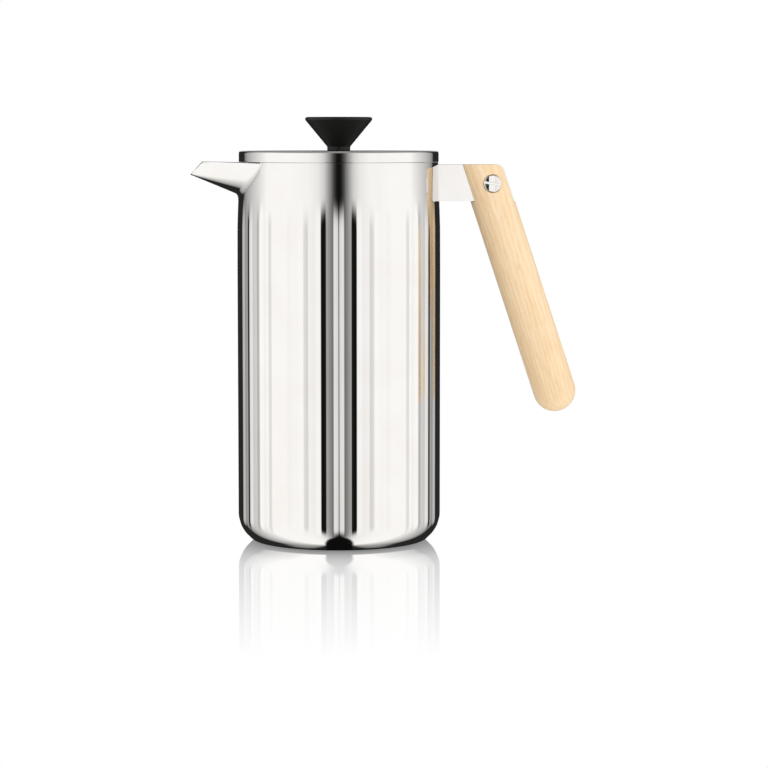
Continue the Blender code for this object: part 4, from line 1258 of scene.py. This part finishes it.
@dataclass
class Filter:
    """The hub, spoked plate, woven strainer, coil and drilled plate. Sizes in metres."""

    satin: Material
    weave: Material
    gap: float = 0.3 * MM
    thread_radius: float = 2.0 * MM
    spokes: int = 8
    spoke_width: float = 5.0 * MM
    ring_width: float = 5.0 * MM
    hub_radius: float = 3.8 * MM
    wire_pitch: float = 1.6 * MM
    wire_radius: float = 0.11 * MM
    coil_turns: int = 300
    coil_wire: float = 0.2 * MM
    holes: int = 16
    hole_radius: float = 2.4 * MM
    dish: float = 1.0 * MM
    dish_radius: float = 10.0 * MM

    def build(self) -> None:
        """Builds and dresses every piece of the filter."""
        self.hub()
        self.spoked_plate()
        self.strainer()
        self.coil()
        self.drilled_plate()

    def hub(self) -> None:
        """The threaded hub with a chamfered flange."""
        low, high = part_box("hub_nut")
        bore, flange, neck = self.thread_radius + self.gap, high.y, self.hub_radius
        step = low.z + 1.2 * MM
        corners = [(bore, low.z, 0.3 * MM), (flange, low.z, 0.4 * MM), (flange, step, 0.3 * MM),
                   (neck, step, 0.1 * MM), (neck, high.z, 0.3 * MM), (bore, high.z, 0.2 * MM)]
        dress(turned("filter_hub", rounded(corners), 64), self.satin, Slot.SATIN, Body.FILTER, "hub_nut")

    def disc_place(self, radius: float, turn: float, height: float) -> Vector:
        """A place on a flat or dished disc, from radius, turn and height."""
        return Vector((radius * cos(turn), radius * sin(turn), height))

    def sector_disc(self, name: str, near: float, far: float, count: int, window: Outline,
                    low: float, high: float) -> Object:
        """A disc made of equal sectors, each with one window.

        Args:
            name: The piece's name.
            near: The disc's hole radius.
            far: Its outer radius.
            count: How many sectors.
            window: The window's edge, as (radius, turn) points.
            low: The disc's underside.
            high: Its top.

        Returns:
            The disc.
        """
        half = pi / count
        edge = sector_edge(near, far, half, len(window) // 4)
        bm = bmesh.new()
        windowed_sector(bm, edge, window, low, high, self.disc_place, half)
        piece = settle(bm, name)
        return grow(piece, sectors_tree(self.satin), {"Count": count, "First turn": half,
                                                      "Pitch": tau / count})

    def spoked_plate(self) -> None:
        """The spoked plate under the strainer."""
        low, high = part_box("cross_plate")
        outer = high.y - self.ring_width
        inner = self.hub_radius + 2 * self.ring_width
        middle = (inner + outer) / 2
        points = 48
        window = []
        for k in range(points):
            a = tau * k / points
            c, s = cos(a), sin(a)
            radius = middle + copysign(abs(c) ** 0.45, c) * (outer - inner) / 2
            half = pi / self.spokes - self.spoke_width / 2 / radius
            window.append((radius, copysign(abs(s) ** 0.45, s) * half))
        piece = self.sector_disc("spoked_plate", self.hub_radius + self.gap, high.y, self.spokes, window,
                                 low.z, high.z)
        bevel(piece, 0.15 * MM, 2, 50.0)
        dress(piece, self.satin, Slot.SATIN, Body.FILTER, "cross_plate")

    def drilled_plate(self) -> None:
        """The drilled plate on top of the strainer, dished up round the hub."""
        low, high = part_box("spiral_plate")
        wall = 0.6 * MM
        near, far = self.thread_radius + self.gap, high.y
        ring = (self.dish_radius + 2 * self.dish + far) / 2
        window = []
        for k in range(48):
            a = tau * k / 48
            window.append((ring + self.hole_radius * cos(a), self.hole_radius * sin(a) / ring))
        outer = self.sector_disc("drilled_ring", self.dish_radius + 2 * self.dish, far, self.holes,
                                 window, low.z, low.z + wall)
        start = self.dish_radius + 2 * self.dish
        outline = [(start, low.z), (self.dish_radius, low.z + self.dish), (near, low.z + self.dish),
                   (near, high.z), (self.dish_radius, high.z), (start, low.z + wall)]
        piece = joined("drilled_plate", [outer, turned("dished_middle", outline, 192)])
        dress(piece, self.satin, Slot.SATIN, Body.FILTER, "spiral_plate")

    def weave_tree(self, radius: float, across: bool) -> NodeTree:
        """One direction of the woven disc: wires that wave over and under, cut round and turned up.

        Args:
            radius: The disc's radius.
            across: Whether the wires run along X, with the opposite wave.

        Returns:
            The tree, with the inputs Pitch, Wire radius, Wave and Rim.
        """
        node, size = new_growth("weave_" + ("x" if across else "y"), {
            "Pitch": 0.001, "Wire radius": 0.0001, "Wave": 0.0001, "Rim": 0.005, "Count": 10})
        span = node("Math:MULTIPLY", node("Math:SUBTRACT", size["Count"], 1), size["Pitch"])
        row = node("MeshLine", {"Count": size["Count"], "Offset": node("CombineXYZ", size["Pitch"]),
                                "Start Location": node("CombineXYZ", node("Math:MULTIPLY", span, -0.5))})
        wire = node("CurvePrimitiveLine", {"Start": (0.0, -1.0, 0.0), "End": (0.0, 1.0, 0.0)})
        part = node("SeparateXYZ", node("InputPosition")).outputs
        squared = node("Math:MULTIPLY", part["X"], part["X"])
        chord = node("Math:SQRT", node("Math:SUBTRACT", radius ** 2, squared))
        length = node("CombineXYZ", 1.0, node("Math:ADD", chord, size["Rim"]), 1.0)
        wires = node("InstanceOnPoints", {"Points": row, "Instance": wire, "Scale": length})
        fine = node("ResampleCurve", {"Curve": node("RealizeInstances", wires),
                                      "Length": node("Math:MULTIPLY", size["Pitch"], 0.5)}, mode="LENGTH")
        length_y = node("Math:ABSOLUTE", part["Y"])
        flat_y = node("Math:MINIMUM", length_y, chord)
        new_y = node("Math:MULTIPLY", flat_y, node("Math:SIGN", part["Y"]))
        up = node("Math:MAXIMUM", node("Math:SUBTRACT", length_y, chord), 0.0)
        cells = node("Math:ADD", *[node("Math:DIVIDE", part[axis], size["Pitch"]) for axis in "XY"])
        wave = node("Math:MULTIPLY", node("Math:COSINE", node("Math:MULTIPLY", cells, pi)), size["Wave"])
        height = node("Math:ADD", up, node("Math:MULTIPLY", wave, -1.0 if across else 1.0))
        shaped = node("SetPosition", {"Geometry": fine,
                                      "Position": node("CombineXYZ", part["X"], new_y, height)})
        profile = node("CurvePrimitiveCircle", {"Resolution": 4, "Radius": size["Wire radius"]})
        tubes = node("CurveToMesh", {"Curve": shaped, "Profile Curve": profile, "Fill Caps": True})
        quarter = pi / 2 if across else 0.0
        return end_growth(node("Transform", {"Geometry": tubes, "Rotation": (0.0, 0.0, quarter)}), self.weave)

    def strainer(self) -> None:
        """The woven strainer with its upturned edge and the hoops that bind it."""
        low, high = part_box("filter_mesh")
        radius = high.y - 2 * self.wire_radius
        wave = 0.09 * MM
        middle = low.z + wave + self.wire_radius
        count = 2 * int(radius / self.wire_pitch) + 1
        parts = []
        for across in (False, True):
            bm = bmesh.new()
            bm.verts.new((0.0, 0.0, 0.0))
            wires = settle(bm, "wires")
            grow(wires, self.weave_tree(radius, across), {
                "Pitch": self.wire_pitch, "Wire radius": self.wire_radius, "Wave": wave,
                "Rim": high.z - middle - self.wire_radius, "Count": count}, 80.0)
            wires.data.transform(Matrix.Translation((0.0, 0.0, middle)))
            parts.append(wires)
        for k in range(4):
            height = high.z - self.wire_radius - k * self.wire_pitch * 0.8
            hoop = arc((radius, height), self.wire_radius * 1.3, 0, 300, 5)
            parts.append(turned("hoop", hoop, 180, 80.0))
        piece = joined("woven_strainer", parts)
        dress(piece, self.weave, Slot.WOVEN, Body.FILTER, "filter_mesh")

    def coil_tree(self) -> NodeTree:
        """The rule of the coil: a helix bent round into a ring, swept with a round wire."""
        node, size = new_growth("coil_spring", {"Ring radius": 0.04, "Coil radius": 0.002,
                                                "Wire radius": 0.0002, "Turns": 100, "Points": 1200})
        ring = node("MeshToCurve", node("MeshCircle", {"Vertices": size["Points"]}))
        turn = node("Math:MULTIPLY", node("Math:DIVIDE", node("InputIndex"), size["Points"]), tau)
        twist = node("Math:MULTIPLY", turn, size["Turns"])
        radius = node("Math:MULTIPLY_ADD", node("Math:COSINE", twist), size["Coil radius"],
                      size["Ring radius"])
        spot = node("CombineXYZ", node("Math:MULTIPLY", radius, node("Math:COSINE", turn)),
                    node("Math:MULTIPLY", radius, node("Math:SINE", turn)),
                    node("Math:MULTIPLY", node("Math:SINE", twist), size["Coil radius"]))
        helix = node("SetPosition", {"Geometry": ring, "Position": spot})
        profile = node("CurvePrimitiveCircle", {"Resolution": 5, "Radius": size["Wire radius"]})
        return end_growth(node("CurveToMesh", {"Curve": helix, "Profile Curve": profile}), self.satin)

    def coil(self) -> None:
        """The coil spring that presses the strainer's edge against the vessel."""
        low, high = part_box("edge_spring")
        half = (high.z - low.z) / 2
        bm = bmesh.new()
        bm.verts.new((0.0, 0.0, 0.0))
        piece = settle(bm, "edge_coil")
        grow(piece, self.coil_tree(), {
            "Ring radius": high.y - half, "Coil radius": half - self.coil_wire,
            "Wire radius": self.coil_wire, "Turns": self.coil_turns, "Points": self.coil_turns * 12}, 80.0)
        piece.data.transform(Matrix.Translation((0.0, 0.0, (low.z + high.z) / 2)))
        dress(piece, self.satin, Slot.SATIN, Body.FILTER, "edge_spring")


# ---------------------------------------------------------------- the plunger

@dataclass
class Plunger:
    """The knob with its brass insert, the rod and its collar. Sizes in metres."""

    satin: Material
    brass: Material
    plastic: Material
    gap: float = 0.3 * MM
    rod_radius: float = 2.5 * MM
    thread_radius: float = 2.0 * MM
    thread_pitch: float = 0.7 * MM
    neck_radius: float = 5.9 * MM
    neck_height: float = 2.1 * MM
    edge: float = 1.1 * MM
    dish: float = 0.8 * MM

    def build(self) -> None:
        """Builds and dresses every piece of the plunger."""
        self.knob()
        self.insert()
        self.rod()
        self.collar()

    def knob(self) -> None:
        """The tapered knob: a short neck, a straight flare, a rounded rim and a shallow dish on top."""
        low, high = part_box("knob")
        low.z -= 0.22 * MM
        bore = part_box("knob_insert")[1].y + self.gap
        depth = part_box("knob_insert")[1].z + 2 * self.gap
        rim = (high.y - self.edge, high.z - self.edge)
        flare = arc(rim, self.edge, -40, 100, 14)
        start = low.z + self.neck_height
        fillet = rounded([(self.neck_radius, low.z + 0.3 * MM, 0.0), (self.neck_radius, start, 1.0 * MM),
                          (*flare[0], 0.0)], 5)
        dish = [(high.y * s, high.z - self.dish * (1 - s ** 2) ** 1.5) for s in (0.85, 0.7, 0.5, 0.25)]
        profile = [(0.0, depth), (bore, depth), (bore, low.z), (self.neck_radius - 0.3 * MM, low.z),
                   *fillet[:-1], *flare, *dish, (0.0, high.z - self.dish)]
        dress(turned("knob_cap", profile, 128, 40.0, closed=False),
              self.plastic, Slot.PLASTIC, Body.PLUNGER, "knob")

    def insert(self) -> None:
        """The brass insert moulded into the knob, with two grooves that hold it."""
        low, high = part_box("knob_insert")
        bore, outer = self.thread_radius + self.gap, high.y
        third = (high.z - low.z) / 3
        corners = [(bore, low.z, 0.2 * MM), (outer, low.z, 0.2 * MM)]
        for k in (1, 2):
            middle = low.z + third * k
            corners += [(outer, middle - 0.6 * MM, 0.1 * MM), (outer - 0.4 * MM, middle - 0.4 * MM, 0.1 * MM),
                        (outer - 0.4 * MM, middle + 0.4 * MM, 0.1 * MM), (outer, middle + 0.6 * MM, 0.1 * MM)]
        corners += [(outer, high.z, 0.2 * MM), (bore, high.z, 0.2 * MM)]
        dress(turned("brass_insert", rounded(corners, 3), 64),
              self.brass, Slot.BRASS, Body.PLUNGER, "knob_insert")

    def thread(self, low: float, high: float) -> Outline:
        """The outline of a thread between two heights, as rings one pitch apart."""
        count = int((high - low) / self.thread_pitch)
        points: Outline = []
        for k in range(count):
            z = low + self.thread_pitch * (k + 0.25)
            points += [(self.thread_radius - 0.3 * MM, z), (self.thread_radius, z + self.thread_pitch * 0.5)]
        return points

    def rod(self) -> None:
        """The rod, threaded at both ends."""
        low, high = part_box("plunger_rod")
        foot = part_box("rod_collar")[1].z + self.gap
        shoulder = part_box("knob_insert")[0].z - self.gap
        outline = [(0.0, low.z), *self.thread(low.z, foot), (self.thread_radius, foot),
                   (self.rod_radius - 0.3 * MM, foot), (self.rod_radius, foot + 0.3 * MM),
                   (self.rod_radius, shoulder - 0.3 * MM), (self.rod_radius - 0.3 * MM, shoulder),
                   (self.thread_radius, shoulder), *self.thread(shoulder, high.z), (0.0, high.z)]
        dress(turned("rod", outline, 48, closed=False), self.satin, Slot.SATIN, Body.PLUNGER, "plunger_rod")

    def collar(self) -> None:
        """The collar that presses on the filter."""
        low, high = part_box("rod_collar")
        corners = [(self.thread_radius + self.gap, low.z, 0.1 * MM), (high.y, low.z, 0.2 * MM),
                   (high.y, high.z, 0.4 * MM), (self.thread_radius + self.gap, high.z, 0.1 * MM)]
        dress(turned("collar", rounded(corners), 48), self.satin, Slot.SATIN, Body.PLUNGER, "rod_collar")


# ---------------------------------------------------------------- the studio

@dataclass
class Studio:
    """White floor, wrap-round white screens with a gap for the camera, and the camera."""

    azimuth: float = -5.87
    screens_azimuth: float = -5.0
    tilt: float = 5.2
    distance: float = 1.4
    lens: float = 127.06
    aim_right: float = 23.2 * MM
    aim_height: float = 80.75 * MM
    floor_radius: float = 0.6
    mirror_reach: float = 0.35
    shade_radius: float = 41.5 * MM
    brightness: float = 1.2
    card_light: float = 1.22

    def build(self) -> None:
        """Sets up the studio."""
        self.camera()
        self.floor()
        self.base_shade()
        self.screens()
        self.card()
        bpy.context.scene.view_settings.view_transform = "Standard"

    @staticmethod
    def level_direction(azimuth: float) -> Vector:
        """The level direction at an azimuth in degrees, where 0 is -Y and 90 is +X."""
        turn = radians(azimuth)
        return Vector((sin(turn), -cos(turn), 0.0))

    def camera(self) -> None:
        """The camera, a little above the pot's top, looking slightly down."""
        level = self.level_direction(self.azimuth)
        right = Vector((-level.y, level.x, 0.0))
        tilt = radians(self.tilt)
        back = level * cos(tilt) + Vector((0.0, 0.0, sin(tilt)))
        data = bpy.data.cameras.new("camera")
        data.lens = self.lens
        data.clip_end = 20.0
        made = bpy.data.objects.new("camera", data)
        bpy.context.scene.collection.objects.link(made)
        made.location = right * self.aim_right + Vector((0.0, 0.0, self.aim_height)) + back * self.distance
        made.rotation_mode = "QUATERNION"
        made.rotation_quaternion = (-back).to_track_quat("-Z", "Y")
        bpy.context.scene.camera = made

    def prop(self, bm: BMesh, name: str, finish: str, *blind: str) -> Callable:
        """Puts a piece of the studio on stage, with an empty material.

        Args:
            bm: Its shape.
            name: Its name.
            finish: Its material's name.
            *blind: The kinds of ray that don't see it.

        Returns:
            add_node for the material's tree.
        """
        piece = settle(bm, name)
        material = bpy.data.materials.new(finish)
        material.use_nodes = True
        material.node_tree.nodes.clear()
        piece.data.materials.append(material)
        for ray in blind:
            setattr(piece, "visible_" + ray, False)
        return partial(add_node, material.node_tree)

    def floor(self) -> None:
        """A lit white acrylic table that mirrors the pot, less and less away from it."""
        bm = bmesh.new()
        bmesh.ops.create_circle(bm, cap_ends=True, segments=96, radius=self.floor_radius)
        node = self.prop(bm, "table", "lit_white_acrylic", "diffuse", "glossy", "shadow")
        reach = node("VectorMath:LENGTH", node("TexCoord").outputs["Object"]).outputs["Value"]
        fade = node("ValToRGB", node("MapRange", {"Value": reach, "From Max": self.mirror_reach}))
        levels = [(0.042, 0.75), (0.055, 0.58), (0.072, 0.42), (0.095, 0.31), (0.13, 0.26), (0.167, 0.21),
                  (0.221, 0.137), (0.271, 0.075), (0.325, 0.0)]
        set_stops(fade, [(radius / self.mirror_reach, (w, w, w, 1.0)) for radius, w in levels])
        gloss = node("BsdfAnisotropic", {"Color": WHITE, "Roughness": 0.012})
        node("OutputMaterial", node("MixShader", fade, node("Emission", WHITE, 1.0), gloss))

    def base_shade(self) -> None:
        """A black disc just below the table under the pot: painted shade that only reflections see."""
        bm = bmesh.new()
        bmesh.ops.create_circle(bm, cap_ends=True, segments=64, radius=self.shade_radius)
        bmesh.ops.translate(bm, verts=bm.verts, vec=(0.0, 0.0, -0.2 * MM))
        node = self.prop(bm, "painted_shade_under_pot", "shaded_table", "camera", "shadow")
        # Painted shade: a black disc stands in for the shade beneath the pot's foot.
        black = node("BsdfPrincipled", {"Base Color": (0.0, 0.0, 0.0, 1.0), "Specular IOR Level": 0.0})
        node("OutputMaterial", black)

    def screens(self) -> None:
        """White screens all round as the light, with a dark gap where the camera stands and a dim back."""
        world = bpy.data.worlds.new("studio")
        bpy.context.scene.world = world
        world.use_nodes = True
        world.node_tree.nodes.clear()
        node = partial(add_node, world.node_tree)
        look = node("TexCoord").outputs["Generated"]
        level = self.level_direction(self.screens_azimuth)
        right = Vector((-level.y, level.x, 0.0))
        ahead = node("VectorMath:DOT_PRODUCT", look, level).outputs["Value"]
        aside = node("VectorMath:DOT_PRODUCT", look, right).outputs["Value"]
        height = node("SeparateXYZ", look).outputs["Z"]

        def ramp(value: NodeSocket, start: float, end: float) -> Node:
            """Goes from 0 to 1 between two values."""
            return node("MapRange", {"Value": value, "From Min": start, "From Max": end})

        def layered(under: Node, mask: Node, grey_level: float) -> Node:
            """Lays an even grey over a brightness where a mask is 1."""
            return node("Mix", {0: mask, 2: under, 3: grey_level})

        sideways = node("Math:ABSOLUTE", aside)
        turn = node("Math:DIVIDE", node("Math:ARCTAN2", sideways, ahead), pi).outputs[0]
        ring = node("ValToRGB", turn)
        levels = [(0, 0.004), (3, 0.013), (6.5, 0.09), (10, 0.28), (14, 0.52), (17, 0.7), (24, 0.9),
                  (34, 1.0), (60, 1.05), (90, 1.05), (97, 0.92), (105, 0.78), (117, 0.60), (130, 0.40),
                  (136, 0.25), (140, 0.02), (180, 0.02)]
        set_stops(ring, [(degrees / 180, (v, v, v, 1.0)) for degrees, v in levels])
        behind = node("Math:MULTIPLY", ramp(turn, 0.945, 0.95), ramp(height, 0.07, 0.09))
        grey = layered(node("RGBToBW", ring), behind, 1.0 / self.brightness)
        grey = layered(grey, ramp(height, 0.4, 0.75), 0.3)
        underside = level * -0.617 + Vector((0.0, 0.0, -0.787))
        under = node("VectorMath:DOT_PRODUCT", look, underside).outputs["Value"]
        grey = layered(grey, ramp(under, 0.93, 0.975), 0.01)
        slant = node("Math:DIVIDE", sideways, node("Math:ADD", ahead, 1.001))
        forward = node("Math:MAXIMUM", ahead, 0.0)
        dome = node("CombineXYZ", node("Math:DIVIDE", slant, 0.15), node("Math:DIVIDE", forward, 0.64))
        reach = node("VectorMath:LENGTH", dome).outputs["Value"]
        gap = node("Math:MULTIPLY", ramp(reach, 1.1, 0.92), ramp(height, -0.5, -0.6))
        screens = node("Background", {"Color": layered(grey, gap, 0.004), "Strength": self.brightness})
        soft = node("MapRange", {"Value": aside, "From Min": -1.0, "To Min": 1.08, "To Max": 1.19})
        wash = node("Background", (1.0, 0.99, 0.97, 1.0), soft)
        ray = node("LightPath").outputs
        lit = node("MixShader", ray["Is Diffuse Ray"], screens, wash)
        node("OutputWorld", node("MixShader", ray["Is Camera Ray"], lit, node("Background", WHITE)))

    def card(self) -> None:
        """A small white card just out of view that lights the flat side of the channel."""
        low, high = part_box("handle_bracket")
        bm = bmesh.new()
        left, right, tall = low.x + 15.5 * MM, high.x + 28 * MM, 72 * MM
        for x, z in ((left, low.z - tall), (right, low.z - tall), (right, high.z + tall),
                     (left, high.z + tall)):
            bm.verts.new((x, -0.15, z))
        bm.faces.new(bm.verts)
        node = self.prop(bm, "white_card", "white_card", "camera", "diffuse", "shadow")
        node("OutputMaterial", node("Emission", WHITE, self.card_light))


def main() -> None:
    """Builds the studio and every sub-assembly."""
    logging.basicConfig(level=logging.INFO, format="%(name)s %(message)s")
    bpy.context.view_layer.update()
    mirror = MirrorSteel("mirror_buffed_steel", "#E5E4E2", 0.035, 1.0).build()
    satin = BrushedSteel("brushed_steel", "#C9C8C6", 0.26, 1.0).build()
    weave = BrushedSteel("drawn_wire", "#BFBEBC", 0.30, 1.0, stretch=(1.0, 1.0, 1.0)).build()
    brass = BrushedSteel("turned_brass", "#D2AE62", 0.26, 1.0, other="#B08A45").build()
    plastic = MouldedBlack("black_polypropylene", "#0C0B0A", 0.4, ior=1.49, sheen_level=0.32).build()
    rubber = MouldedBlack("grey_silicone", "#3A3938", 0.58, ior=1.41, other="#444240").build()
    bar_top = (Handle.axis_at_top, 0.0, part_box("handle_bracket")[1].z)
    wood = OakGrain("oiled_oak", "#F6DFBB", 0.5, ior=1.52, lean=-Handle.lean, centre=bar_top).build()
    pot = Pot(mirror, satin, rubber)
    pot.build()
    Handle(mirror, satin, wood, pot.neck).build()
    Lid(mirror, plastic, rubber).build()
    Filter(satin, weave).build()
    Plunger(satin, brass, plastic).build()
    Studio().build()


if __name__ == "__main__":
    main()
